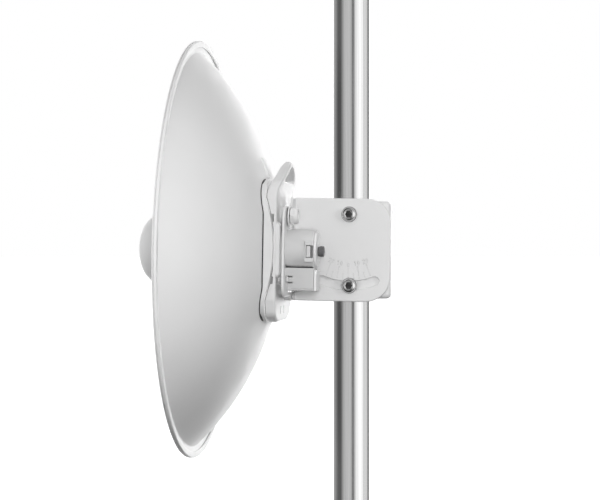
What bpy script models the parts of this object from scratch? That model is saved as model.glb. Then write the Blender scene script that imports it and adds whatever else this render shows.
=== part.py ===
"""Point-to-point wireless dish antenna on a tilting bracket, clamped to a round mast.

Metres, +Z up. The mast stands on the origin, the dish looks along -X, and the tilt
bracket lies on the -Y side of the mast. Every antenna piece is drawn about the dish
axis and hangs from the tilt pivot, so it keeps its rest tilt.
"""
import math

import bmesh
import bpy
from mathutils import Matrix, Vector

# General
GAP = 0.0003
FINE = 56
SMALL = 24
TINY = 16

# Mast
MAST_RADIUS = 0.01905
MAST_WALL = 0.002
MAST_LENGTH = 0.600
CAP_THICKNESS = 0.004
CAP_LIP = 0.0015
PLUG_DEPTH = 0.015
MAST_SIDES = 48

# Where the dish axis lies, seen from the mast
AXIS_HEIGHT = 0.300
AXIS_OFFSET = 0.060
REST_TILT = math.radians(1.0)

# Tilt joint: pivot bolt above, locking bolt in the arc slot below, both a little beside the mast's axis
TILT_BOLT_X = 0.0015
TILT_SPACING = 0.072
SLOT_WIDTH = 0.009
SLOT_HALF_ANGLE = math.radians(21.8)
BOLT_RADIUS = 0.004
HEAD_RADIUS = 0.0072
HEAD_HEIGHT = 0.0055
SOCKET_ACROSS = 0.0062
SOCKET_DEPTH = 0.0035
TILT_WASHER_RADIUS = 0.0080
TILT_WASHER = 0.0012
BOLT_CLEARANCE = 0.0005
NUT_ACROSS = 0.013
TILT_NUT = 0.005

# Tilt bracket: side plate beside the mast and mounting flange behind the dish
PLATE = 0.003
PLATE_NEAR = 0.024
PLATE_RIGHT = 0.0439
PLATE_HALF_HEIGHT = 0.0522
PLATE_CORNER = 0.025
BEND_RADIUS = 0.004
FLANGE_FRONT = -0.0555
FLANGE_NEAR = -0.050
FLANGE_TOP = 0.0430
FLANGE_BOTTOM = -0.0470
FLANGE_CORNER = 0.016
FLANGE_FULL = 0.004
WINDOW_MARGIN = 0.002
WINDOW_CORNER = 0.004

# Clamp: pressed tray on the near side and pressed jaw on the far side of the mast
CLAMP_SHEET = 0.003
TRAY_RIGHT = 0.0430
TRAY_LEFT = -0.040
TRAY_LEFT_END = -0.026
TRAY_HALF_HEIGHT = 0.0494
TRAY_TAPER_START = 0.022
TRAY_DEPTH = 0.027
TRAY_CORNER = 0.005
JAW_HALF_WIDTH = 0.039
JAW_HALF_HEIGHT = 0.024
JAW_WALL_FACE = 0.0320
JAW_FRONT = 0.0055
CLAMP_BOLT_X = 0.030
CLAMP_BOLT_Z = 0.014
CLAMP_NUT = 0.0065
HEX_HEAD = 0.0053
JAW_CORNER = 0.002

# Reflector
RIM_RADIUS = 0.2085
RIM_WIDTH = 0.0115
DISH_DROP = 0.0021
SHEET = 0.0015
BOWL_VERTEX = -0.0652
BOWL_FOCUS = 0.1345
BOWL_FLARE = 0.132
SEAT_RADIUS = 0.072
SEAT_FACE = -0.0735
SEAT_CONE_RADIUS = 0.092
HEM_GAP = 0.0013
HEM_RETURN = 0.006
BOWL_STEPS = 9

# Feed in front of the reflector
FEED_RADIUS = 0.019
FEED_CLEARANCE = 0.0005
FEED_COLLAR_RADIUS = 0.030
FEED_COLLAR = 0.006
FEED_COLLAR_SLOPE = 0.003
FEED_TUBE_END = -0.168
FEED_CUP_END = -0.180
FEED_CUP_BAND = 0.004
DOME_RADIUS = 0.0365
DOME_FRONT = -0.2074
DOME_FULLNESS = 2.35
DOME_STEPS = 9
DOME_SIDES = 32

# Rear housing: plate against the reflector, cover over it, carry loop on top
BASE_HALF_WIDTH = 0.062
BASE_TOP = 0.069
BASE_BOTTOM = -0.072
BASE_CORNER = 0.030
COVER_FACE = -0.061
COVER_HALF_WIDTH = 0.055
COVER_WAIST = 0.044
COVER_END_HALF_WIDTH = 0.028
COVER_MIDDLE = 0.0018
COVER_ENDS = 0.0100
WAIST_HALF_HEIGHT = 0.018
LOBE_HEIGHT = 0.050
LOBE_LENGTH = 0.012
LOBE_EASE = 0.003
LOOP_FOOT = 0.066
LOOP_TOP = 0.0877
LOOP_HALF_WIDTH = 0.048
LOOP_FULLNESS = 1.14
LOOP_STEPS = 7
LOOP_HOLE_HALF_WIDTH = 0.033
LOOP_HOLE_TOP = 0.0822
LOOP_HOLE_FULLNESS = 1.25
LOOP_SET_BACK = 0.0043
LOOP_LEAN = 0.26
LOOP_DEPTH = 0.0102

# Fixings that hold the tilt bracket on the rear housing
STUD_ACROSS_AT = -0.032
STUD_RISE = 0.0325
STUD_RADIUS = 0.003
BOSS_RADIUS = 0.009
BOSS_FLARE = 0.002
BOSS_ROOT = 0.001
SCREW_SPOTS = [("near", -0.035, -0.030), ("upper", 0.009, 0.037), ("lower", 0.009, -0.0477)]
SCREW_RADIUS = 0.002
SCREW_BOSS_RADIUS = 0.0042
SCREW_GRIP = 0.004
FIXING_WASHER_RADIUS = 0.0100
FIXING_WASHER = 0.0015
FIXING_NUT_ACROSS = 0.0155
FIXING_NUT = 0.0080
SCREW_HEAD_RADIUS = 0.0032
SCREW_HEAD = 0.0040

# Rear barrel, its end and the cable port under it
BARREL_RADIUS = 0.020
BARREL_END = -0.0285
BARREL_SIDES = 40
BARREL_CAP = 0.0015
BARREL_CAP_EDGE = 0.0008
KNOB_RADIUS = 0.0056
KNOB_LENGTH = 0.0062
KNOB_DROP = 0.002
LATCH_START = -0.0378
LATCH_LOW = -0.0128
LATCH_HIGH = 0.0089
LATCH_PROUD = 0.0012
LATCH_WALL = 0.0020
LATCH_END_WALL = 0.0006
LATCH_SETBACK = 0.0004
LATCH_BAND = 0.0050
LATCH_DEPTH = 0.0040
LATCH_TAB_LENGTH = 0.0046
LATCH_TAB_SINK = 0.0008
PORT_NEAR = -0.019
PORT_FAR = 0.0110
PORT_TOP = -0.0185
PORT_BOTTOM = -0.0412
PORT_END = -0.0283
PORT_CAP = 0.0022

# Values that follow from the ones above
PIVOT_RISE = TILT_SPACING / 2
HOUSING_CENTRE = (-TILT_BOLT_X, -AXIS_OFFSET, -PIVOT_RISE)
DISH_CENTRE = (-TILT_BOLT_X, -AXIS_OFFSET, -PIVOT_RISE - DISH_DROP)
CREASE_RADIUS = RIM_RADIUS - RIM_WIDTH
PLATE_FAR = PLATE_NEAR + PLATE
FLANGE_REAR = FLANGE_FRONT + PLATE
TRAY_FACE = -AXIS_OFFSET + PLATE_FAR + GAP
TRAY_INSIDE = TRAY_FACE + CLAMP_SHEET
TRAY_BACK = TRAY_FACE + TRAY_DEPTH
NOTCH_APEX = (MAST_RADIUS + GAP) * math.sqrt(2)
HEM_BACK = HEM_GAP + 2 * SHEET
ARCH_RISES = [LOBE_HEIGHT * step / 4 for step in range(-5, 5)]
NUT_START = FLANGE_REAR + 2 * GAP + FIXING_WASHER
STUD_TIP = NUT_START + FIXING_NUT * 0.8


def material(name, colour, roughness, metallic=0.0):
    """Plain surface with its own colour, roughness and metallic value."""
    made = bpy.data.materials.new(name)
    made.use_nodes = True
    shader = made.node_tree.nodes["Principled BSDF"]
    shader.inputs["Base Color"].default_value = (*colour, 1.0)
    shader.inputs["Roughness"].default_value = roughness
    shader.inputs["Metallic"].default_value = metallic
    made.diffuse_color = (*colour, 1.0)
    return made


def white_plastic(name):
    return material(name, (0.80, 0.80, 0.79), 0.42)


def white_paint(name):
    return material(name, (0.82, 0.82, 0.81), 0.35)


def zinc_steel(name):
    return material(name, (0.62, 0.62, 0.61), 0.30, 1.0)


def dark_plastic(name):
    return material(name, (0.05, 0.05, 0.052), 0.50)


def empty(name, location, parent=None, rotation=(0.0, 0.0, 0.0)):
    """Carrier that other objects are parented to."""
    carrier = bpy.data.objects.new(name, None)
    carrier.empty_display_size = 0.03
    carrier.location = location
    carrier.rotation_euler = rotation
    carrier.parent = parent
    bpy.context.scene.collection.objects.link(carrier)
    return carrier


def place(name, bm, surface, parent=None, location=(0.0, 0.0, 0.0), smooth=35.0):
    """Turns a finished bmesh into a named object with its own material."""
    bmesh.ops.recalc_face_normals(bm, faces=bm.faces)
    mesh = bpy.data.meshes.new(name)
    bm.to_mesh(mesh)
    bm.free()
    mesh.materials.append(surface)
    mesh.shade_smooth()
    mesh.set_sharp_from_angle(angle=math.radians(smooth))
    made = bpy.data.objects.new(name, mesh)
    made.parent = parent
    made.location = location
    bpy.context.scene.collection.objects.link(made)
    return made


def helper(name, bm, parent=None, location=(0.0, 0.0, 0.0)):
    """Shape that only cuts or extends another one and isn't a piece by itself."""
    made = place(name, bm, None, parent, location)
    made.hide_render = True
    made.display_type = "WIRE"
    return made


def boolean(target, other, operation):
    """Cuts, joins or intersects the target with the other object."""
    step = target.modifiers.new(other.name, "BOOLEAN")
    step.operation = operation
    step.solver = "EXACT"
    step.object = other


def turned(profile, sides=SMALL, axis="X"):
    """Outline of (radius, along) points swept once round the axis.

    An outline with both ends on the axis stays open there, any other one is a closed loop.
    """
    bm = bmesh.new()
    points = [bm.verts.new((0.0, radius, along)) for radius, along in profile]
    pairs = list(zip(points, points[1:]))
    if profile[0][0] > 0 or profile[-1][0] > 0:
        pairs.append((points[-1], points[0]))
    edges = [bm.edges.new(pair) for pair in pairs]
    bmesh.ops.spin(bm, geom=points + edges, cent=(0, 0, 0), axis=(0, 0, 1),
                   angle=math.tau, steps=sides, use_merge=True)
    bmesh.ops.remove_doubles(bm, verts=bm.verts, dist=1e-6)
    turn = {"X": Matrix.Rotation(math.pi / 2, 4, "Y"), "Y": Matrix.Rotation(-math.pi / 2, 4, "X"),
            "Z": Matrix.Identity(4)}[axis]
    bmesh.ops.transform(bm, matrix=turn, verts=bm.verts)
    return bm


def flat_shape(outlines, start, end, axis="Z"):
    """Prism between two levels from an outer outline and any number of hole outlines.

    Outlines are (a, b) points: x, y for axis Z, y, z for axis X, and x, z for axis Y.
    """
    bm = bmesh.new()
    edges = []
    for outline in outlines:
        points = [bm.verts.new((a, b, 0.0)) for a, b in outline]
        edges += [bm.edges.new(pair) for pair in zip(points, points[1:] + points[:1])]
    bmesh.ops.triangle_fill(bm, use_beauty=True, use_dissolve=False, edges=edges)
    grown = bmesh.ops.extrude_face_region(bm, geom=bm.faces[:])
    raised = [item for item in grown["geom"] if isinstance(item, bmesh.types.BMVert)]
    bmesh.ops.translate(bm, verts=raised, vec=(0, 0, end - start))
    bmesh.ops.translate(bm, verts=bm.verts, vec=(0, 0, start))
    order = {"Z": (0, 1, 2), "X": (2, 0, 1), "Y": (0, 2, 1)}[axis]
    for vert in bm.verts:
        vert.co = Vector([vert.co[index] for index in order])
    return bm


def block(low, high):
    """Box between two corners."""
    bm = bmesh.new()
    bmesh.ops.create_cube(bm, size=1.0)
    low, high = Vector(low), Vector(high)
    bmesh.ops.scale(bm, vec=high - low, verts=bm.verts)
    bmesh.ops.translate(bm, vec=(high + low) / 2, verts=bm.verts)
    return bm


def arc(centre, radius, start, end, steps):
    """Points on an arc, angles in radians, both ends kept."""
    angles = [start + (end - start) * step / steps for step in range(steps + 1)]
    return [(centre[0] + radius * math.cos(angle), centre[1] + radius * math.sin(angle))
            for angle in angles]


def circle(centre, radius, sides=TINY):
    return arc(centre, radius, 0.0, math.tau, sides)[:-1]


def hexagon(centre, across):
    """Hexagon with flat sides left and right of its centre."""
    return arc(centre, across / math.sqrt(3), math.pi / 6, math.pi / 6 + math.tau, 6)[:-1]


def rounded(left, right, low, high, corners, steps=5):
    """Rectangle with a radius of its own at each corner, from the lower left anticlockwise."""
    places = [(left, low, 1, 1, math.pi), (right, low, -1, 1, 1.5 * math.pi),
              (right, high, -1, -1, 0.0), (left, high, 1, -1, 0.5 * math.pi)]
    points = []
    for (a, b, side, rise, start), radius in zip(places, corners):
        if radius > 0:
            centre = (a + side * radius, b + rise * radius)
            points += arc(centre, radius, start, start + math.pi / 2, steps)
        else:
            points.append((a, b))
    return points


def swelling(width, height, fullness, steps):
    """Quarter of an oval from (width, 0) up to (0, height): 1 is straight, 2 an ellipse, more is fuller."""
    quarter = arc((0.0, 0.0), 1.0, 0.0, math.pi / 2, steps)
    power = 2 / fullness
    return [(width * max(a, 0.0) ** power, height * b ** power) for a, b in quarter]


def mirrored(half):
    """Closed outline from the points of its right half, listed from bottom to top."""
    left = [(-a, b) for a, b in reversed(half) if a > 1e-6]
    return half + left


def make_mast():
    """Round tube with a cap on top and a plug in its foot."""
    inner = MAST_RADIUS - MAST_WALL
    tube = [(inner, 0.0), (MAST_RADIUS, 0.0), (MAST_RADIUS, MAST_LENGTH), (inner, MAST_LENGTH)]
    place("mast_tube", turned(tube, MAST_SIDES, "Z"), zinc_steel("galvanised_tube"))

    edge = MAST_RADIUS + CAP_LIP
    under = MAST_LENGTH + GAP
    skirt = inner - GAP
    cap = [(0.0, under + CAP_THICKNESS), (edge - CAP_LIP, under + CAP_THICKNESS),
           (edge, under + CAP_THICKNESS - CAP_LIP), (edge, under), (skirt, under),
           (skirt, under - PLUG_DEPTH), (0.0, under - PLUG_DEPTH)]
    place("mast_top_cap", turned(cap, MAST_SIDES, "Z"), dark_plastic("cap_plastic"))

    plug = [(0.0, PLUG_DEPTH), (skirt, PLUG_DEPTH), (skirt, 0.0), (0.0, 0.0)]
    place("mast_foot_plug", turned(plug, MAST_SIDES, "Z"), dark_plastic("plug_plastic"))


def tilt_holes(radius):
    """Outlines of the two bolt holes, one above the other beside the mast."""
    return [circle((TILT_BOLT_X, PIVOT_RISE), radius), circle((TILT_BOLT_X, -PIVOT_RISE), radius)]


def make_clamp(clamp):
    """Tray, jaw and the four bolts that draw them together round the mast."""
    wall = [(TRAY_RIGHT, -TRAY_HALF_HEIGHT + TRAY_CORNER), (TRAY_RIGHT, TRAY_HALF_HEIGHT - TRAY_CORNER),
            (TRAY_RIGHT - TRAY_CORNER, TRAY_HALF_HEIGHT), (TRAY_LEFT_END, TRAY_HALF_HEIGHT),
            (TRAY_LEFT, TRAY_TAPER_START), (TRAY_LEFT, -TRAY_TAPER_START),
            (TRAY_LEFT_END, -TRAY_HALF_HEIGHT), (TRAY_RIGHT - TRAY_CORNER, -TRAY_HALF_HEIGHT)]
    bolt_places = [(x, z) for z in (CLAMP_BOLT_Z, -CLAMP_BOLT_Z) for x in (-CLAMP_BOLT_X, CLAMP_BOLT_X)]
    clamp_holes = [circle(spot, BOLT_RADIUS + BOLT_CLEARANCE) for spot in bolt_places]
    tray = place("pole_bracket",
                 flat_shape([wall] + tilt_holes(BOLT_RADIUS + BOLT_CLEARANCE) + clamp_holes,
                            TRAY_FACE, TRAY_INSIDE, "Y"),
                 white_paint("bracket_paint"), clamp)
    side = rounded(TRAY_FACE, TRAY_BACK, -TRAY_HALF_HEIGHT + TRAY_CORNER, TRAY_HALF_HEIGHT - TRAY_CORNER,
                   (0, TRAY_CORNER, TRAY_CORNER, 0))
    boolean(tray, helper("tray_side", flat_shape([side], TRAY_RIGHT - CLAMP_SHEET, TRAY_RIGHT, "X"), clamp),
            "UNION")
    opening = NOTCH_APEX + TRAY_BACK
    flange = [(TRAY_LEFT_END, TRAY_FACE), (TRAY_RIGHT - TRAY_CORNER, TRAY_FACE),
              (TRAY_RIGHT - TRAY_CORNER, TRAY_BACK), (opening, TRAY_BACK), (0.0, -NOTCH_APEX),
              (-opening, TRAY_BACK), (TRAY_LEFT_END, TRAY_BACK)]
    for name, low in (("tray_top", TRAY_HALF_HEIGHT - CLAMP_SHEET), ("tray_bottom", -TRAY_HALF_HEIGHT)):
        boolean(tray, helper(name, flat_shape([flange], low, low + CLAMP_SHEET), clamp), "UNION")

    jaw_inside = JAW_WALL_FACE - CLAMP_SHEET
    jaw_wall = rounded(-JAW_HALF_WIDTH, JAW_HALF_WIDTH, -JAW_HALF_HEIGHT, JAW_HALF_HEIGHT,
                       (JAW_CORNER,) * 4, 2)
    jaw = place("clamp_jaw", flat_shape([jaw_wall] + clamp_holes, jaw_inside, JAW_WALL_FACE, "Y"),
                white_paint("jaw_paint"), clamp)
    opening = NOTCH_APEX - JAW_FRONT
    edge, root = JAW_HALF_WIDTH - JAW_CORNER, jaw_inside + CLAMP_SHEET / 3
    flange = [(edge, root), (edge, JAW_FRONT), (opening, JAW_FRONT), (0.0, NOTCH_APEX), (-opening, JAW_FRONT),
              (-edge, JAW_FRONT), (-edge, root)]
    for name, low in (("jaw_top", JAW_HALF_HEIGHT - CLAMP_SHEET), ("jaw_bottom", -JAW_HALF_HEIGHT)):
        boolean(jaw, helper(name, flat_shape([flange], low, low + CLAMP_SHEET), clamp), "UNION")

    head_face = JAW_WALL_FACE + GAP
    nut_face = TRAY_INSIDE + GAP
    tip = TRAY_FACE
    for number, (x, z) in enumerate(bolt_places, 1):
        bolt = place(f"clamp_bolt_{number}", flat_shape([hexagon((0, 0), NUT_ACROSS)], head_face,
                                                        head_face + HEX_HEAD, "Y"),
                     zinc_steel(f"clamp_bolt_steel_{number}"), clamp, (x, 0.0, z))
        shank = turned([(0.0, tip), (BOLT_RADIUS, tip), (BOLT_RADIUS, head_face + HEX_HEAD / 2),
                        (0.0, head_face + HEX_HEAD / 2)], TINY, "Y")
        boolean(bolt, helper(f"clamp_shank_{number}", shank, clamp, (x, 0.0, z)), "UNION")
        hole = circle((0, 0), BOLT_RADIUS + GAP)
        place(f"clamp_nut_{number}", flat_shape([hexagon((0, 0), NUT_ACROSS), hole], nut_face,
                                                nut_face + CLAMP_NUT, "Y"),
              zinc_steel(f"clamp_nut_steel_{number}"), clamp, (x, 0.0, z))


def make_tilt_bolt(name, clamp, rise):
    """Socket head bolt with washer through side plate and tray, and its nut in the tray."""
    washer_face = -AXIS_OFFSET + PLATE_NEAR - GAP
    head_face = washer_face - TILT_WASHER - GAP
    nut_face = TRAY_INSIDE + GAP
    tip = nut_face + TILT_NUT
    spot = (TILT_BOLT_X, 0.0, rise)
    crown = HEAD_HEIGHT * 0.25
    outline = [(0.0, head_face - HEAD_HEIGHT + SOCKET_DEPTH),
               (SOCKET_ACROSS / 2, head_face - HEAD_HEIGHT + SOCKET_DEPTH),
               (SOCKET_ACROSS / 2, head_face - HEAD_HEIGHT), (HEAD_RADIUS - crown, head_face - HEAD_HEIGHT),
               (HEAD_RADIUS, head_face - HEAD_HEIGHT + crown), (HEAD_RADIUS, head_face),
               (BOLT_RADIUS, head_face), (BOLT_RADIUS, tip), (0.0, tip)]
    place(f"{name}_bolt", turned(outline, SMALL, "Y"), zinc_steel(f"{name}_bolt_steel"), clamp, spot)
    hole = circle((0, 0), BOLT_RADIUS + GAP)
    washer = [circle((0, 0), TILT_WASHER_RADIUS, SMALL), hole]
    place(f"{name}_washer", flat_shape(washer, washer_face - TILT_WASHER, washer_face, "Y"),
          zinc_steel(f"{name}_washer_steel"), clamp, spot)
    place(f"{name}_nut", flat_shape([hexagon((0, 0), NUT_ACROSS), hole], nut_face, tip, "Y"),
          zinc_steel(f"{name}_nut_steel"), clamp, spot)


def arc_slot():
    """Outline of the slot round the pivot, wide enough for the locking bolt."""
    centre = (TILT_BOLT_X, PIVOT_RISE)
    middle = -math.pi / 2
    start, end = middle - SLOT_HALF_ANGLE, middle + SLOT_HALF_ANGLE
    radius = TILT_SPACING
    half = SLOT_WIDTH / 2
    right = (centre[0] + radius * math.cos(end), centre[1] + radius * math.sin(end))
    left = (centre[0] + radius * math.cos(start), centre[1] + radius * math.sin(start))
    return (arc(centre, radius + half, start, end, 16) + arc(right, half, end, end + math.pi, 6)[1:-1]
            + arc(centre, radius - half, end, start, 16) + arc(left, half, start - math.pi, start, 6)[1:-1])


def make_tilt_bracket(antenna):
    """Bent sheet: side plate with pivot hole and arc slot, flange with window and bolt holes."""
    plate = rounded(FLANGE_FRONT + BEND_RADIUS, PLATE_RIGHT, -PLATE_HALF_HEIGHT, PLATE_HALF_HEIGHT,
                    (0, PLATE_CORNER, PLATE_CORNER, 0), 8)
    pivot_hole = circle((TILT_BOLT_X, PIVOT_RISE), BOLT_RADIUS + BOLT_CLEARANCE)
    bracket = place("tilt_bracket", flat_shape([plate, pivot_hole, arc_slot()], PLATE_NEAR, PLATE_FAR, "Y"),
                    white_paint("tilt_bracket_paint"), antenna, HOUSING_CENTRE)
    outer, inner = BEND_RADIUS, BEND_RADIUS - PLATE
    centre = (FLANGE_FRONT + outer, PLATE_FAR - outer)
    bend = (arc(centre, outer, math.pi / 2, math.pi, 5) + arc(centre, inner, math.pi, math.pi / 2, 5))
    overlap = PLATE / 3
    bend[0] = (bend[0][0] + overlap, bend[0][1])
    bend[-1] = (bend[-1][0] + overlap, bend[-1][1])
    bend[5] = (bend[5][0], bend[5][1] - overlap)
    bend[6] = (bend[6][0], bend[6][1] - overlap)
    corner = helper("bracket_bend", flat_shape([bend], -PLATE_HALF_HEIGHT, PLATE_HALF_HEIGHT),
                    antenna, HOUSING_CENTRE)
    half = BARREL_RADIUS + WINDOW_MARGIN
    window = rounded(-half, min(half, PLATE_NEAR - BEND_RADIUS), PORT_BOTTOM - WINDOW_MARGIN, half,
                     (WINDOW_CORNER,) * 4)
    holes = [circle((STUD_ACROSS_AT, STUD_RISE), STUD_RADIUS + BOLT_CLEARANCE)]
    holes += [circle((across, rise), SCREW_RADIUS + BOLT_CLEARANCE) for _, across, rise in SCREW_SPOTS]
    low_step, high_step = PLATE_HALF_HEIGHT + FLANGE_BOTTOM, PLATE_HALF_HEIGHT - FLANGE_TOP
    near = FLANGE_NEAR + FLANGE_CORNER
    face = [(centre[1], -PLATE_HALF_HEIGHT), (centre[1], PLATE_HALF_HEIGHT), (FLANGE_FULL, PLATE_HALF_HEIGHT),
            (FLANGE_FULL - high_step, FLANGE_TOP)]
    face += arc((near, FLANGE_TOP - FLANGE_CORNER), FLANGE_CORNER, math.pi / 2, math.pi, 6)
    face += arc((near, FLANGE_BOTTOM + FLANGE_CORNER), FLANGE_CORNER, math.pi, 1.5 * math.pi, 6)
    face += [(FLANGE_FULL - low_step, FLANGE_BOTTOM), (FLANGE_FULL, -PLATE_HALF_HEIGHT)]
    flange = helper("bracket_flange", flat_shape([face, window] + holes, FLANGE_FRONT, FLANGE_REAR, "X"),
                    antenna, HOUSING_CENTRE)
    boolean(bracket, corner, "UNION")
    boolean(bracket, flange, "UNION")


def bowl(radius):
    """Back of the reflector sheet at a radius from its axis, a little steeper towards the crease."""
    return BOWL_VERTEX - radius * radius / (4 * BOWL_FOCUS) * (1 + BOWL_FLARE * (radius / CREASE_RADIUS) ** 4)


def bowl_slope(radius):
    """Steepness of the reflector sheet at a radius from its axis."""
    return radius / (2 * BOWL_FOCUS) * (1 + 3 * BOWL_FLARE * (radius / CREASE_RADIUS) ** 4)


def make_reflector(antenna):
    """Pressed bowl with a flat seat behind, a flat rim and a rolled hem."""
    back = [(FEED_RADIUS + FEED_CLEARANCE, SEAT_FACE), (SEAT_RADIUS, SEAT_FACE)]
    radii = [SEAT_CONE_RADIUS + (CREASE_RADIUS - SEAT_CONE_RADIUS) * step / BOWL_STEPS
             for step in range(BOWL_STEPS + 1)]
    back += [(radius, bowl(radius)) for radius in radii]
    front = []
    for radius, along in back:
        slope = bowl_slope(radius) if radius > SEAT_RADIUS else 0.0
        front.append((radius, along - SHEET * math.sqrt(1 + slope * slope)))
    rim_back = back[-1][1]
    rim_front = rim_back - SHEET
    front[-1] = (CREASE_RADIUS - SHEET / 2, rim_front)
    hem_inside = RIM_RADIUS - SHEET
    lip_back = rim_front + HEM_BACK
    hem = [(hem_inside, rim_back), (hem_inside, lip_back - SHEET), (RIM_RADIUS - HEM_RETURN, lip_back - SHEET),
           (RIM_RADIUS - HEM_RETURN, lip_back), (RIM_RADIUS - SHEET / 2, lip_back),
           (RIM_RADIUS, lip_back - SHEET / 2), (RIM_RADIUS, rim_front + SHEET / 2),
           (RIM_RADIUS - SHEET / 2, rim_front)]
    place("reflector", turned(back + hem + front[::-1], FINE, "X"), white_paint("reflector_paint"),
          antenna, DISH_CENTRE, 20.0)


def make_feed(antenna):
    """Collar, tube, flared cup and dome on the dish axis, in front of the reflector."""
    collar_back = SEAT_FACE - SHEET - GAP
    collar_front = collar_back - FEED_COLLAR
    collar = [(FEED_RADIUS + GAP, collar_back), (FEED_COLLAR_RADIUS, collar_back),
              (FEED_COLLAR_RADIUS - FEED_COLLAR_SLOPE, collar_front), (FEED_RADIUS + GAP, collar_front)]
    place("feed_collar", turned(collar, SMALL, "X"), white_plastic("collar_plastic"), antenna, DISH_CENTRE)
    tube = [(0.0, SEAT_FACE), (FEED_RADIUS, SEAT_FACE), (FEED_RADIUS, FEED_TUBE_END), (0.0, FEED_TUBE_END)]
    place("feed_tube", turned(tube, SMALL, "X"), white_plastic("feed_tube_plastic"), antenna, DISH_CENTRE)
    start = FEED_TUBE_END - GAP
    cup = [(0.0, start), (FEED_RADIUS, start), (DOME_RADIUS - FEED_CUP_BAND, FEED_CUP_END + FEED_CUP_BAND),
           (DOME_RADIUS, FEED_CUP_END), (0.0, FEED_CUP_END)]
    place("feed_cup", turned(cup, DOME_SIDES, "X"), white_plastic("feed_cup_plastic"), antenna, DISH_CENTRE)
    foot = FEED_CUP_END - GAP
    quarter = swelling(DOME_RADIUS, DOME_FRONT - foot, DOME_FULLNESS, DOME_STEPS)
    dome = [(0.0, foot)] + [(radius, foot + along) for radius, along in quarter[:-1]] + [(0.0, DOME_FRONT)]
    place("feed_dome", turned(dome, DOME_SIDES, "X"), white_plastic("feed_dome_plastic"), antenna, DISH_CENTRE)


def parting(rise):
    """Where the arched line between base and cover lies along X at a height."""
    share = min(1.0, (rise / LOBE_HEIGHT) ** 2)
    return COVER_FACE - COVER_MIDDLE - (COVER_ENDS - COVER_MIDDLE) * share


def cover_rear(rise):
    """Rear face of the cover along X: flat, then leaning to the rear in the carry loop."""
    if rise <= LOBE_HEIGHT:
        return COVER_FACE
    share = min(1.0, (rise - LOBE_HEIGHT) / (LOOP_FOOT - LOBE_HEIGHT))
    return COVER_FACE + LOOP_SET_BACK * share + LOOP_LEAN * max(0.0, rise - LOOP_FOOT)


def cover_front(rise):
    """Face of the cover towards the dish along X: the arched line, then the front of the loop."""
    if rise <= LOBE_HEIGHT:
        return parting(rise)
    share = min(1.0, (rise - LOBE_HEIGHT) / (LOOP_FOOT - LOBE_HEIGHT))
    return cover_rear(rise) - COVER_ENDS - (LOOP_DEPTH - COVER_ENDS) * share


def shaped(bm, faces, rises):
    """Slices a prism at the given heights and moves its end faces onto the given curves."""
    for rise in rises:
        bmesh.ops.bisect_plane(bm, geom=bm.verts[:] + bm.edges[:] + bm.faces[:],
                               plane_co=(0, 0, rise), plane_no=(0, 0, 1))
    for vert in bm.verts:
        for level, curve in faces:
            if abs(vert.co.x - level) < 1e-6:
                vert.co.x = curve(vert.co.z)
                break
    bmesh.ops.triangulate(bm, faces=bm.faces)


def make_base(antenna):
    """Plate that seats the rear housing on the reflector."""
    outline = rounded(-BASE_HALF_WIDTH, BASE_HALF_WIDTH, BASE_BOTTOM, BASE_TOP, (BASE_CORNER,) * 4, 5)
    bm = flat_shape([outline], SEAT_FACE + GAP, COVER_FACE, "X")
    shaped(bm, [(COVER_FACE, lambda rise: parting(rise) - GAP)], ARCH_RISES)
    place("housing_base", bm, white_plastic("base_plastic"), antenna, HOUSING_CENTRE)


def cover_outline():
    """Bone outline of the cover, narrow at the waist, ending above in the carry loop."""
    low, high = -LOBE_HEIGHT, LOBE_HEIGHT
    eased = COVER_HALF_WIDTH - LOBE_EASE
    half = [(COVER_END_HALF_WIDTH, BASE_BOTTOM),
            ((COVER_END_HALF_WIDTH + eased) / 2, BASE_BOTTOM + LOBE_EASE),
            (eased, BASE_BOTTOM + LOBE_LENGTH), (COVER_HALF_WIDTH, low),
            (eased, low + LOBE_LENGTH), (COVER_WAIST, -WAIST_HALF_HEIGHT), (COVER_WAIST, WAIST_HALF_HEIGHT),
            (eased, high - LOBE_LENGTH), (COVER_HALF_WIDTH, high),
            ((COVER_HALF_WIDTH + LOOP_HALF_WIDTH) / 2, (high + LOOP_FOOT) / 2)]
    crown = swelling(LOOP_HALF_WIDTH, LOOP_TOP - LOOP_FOOT, LOOP_FULLNESS, LOOP_STEPS)
    return mirrored(half + [(across, LOOP_FOOT + rise) for across, rise in crown])


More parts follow.
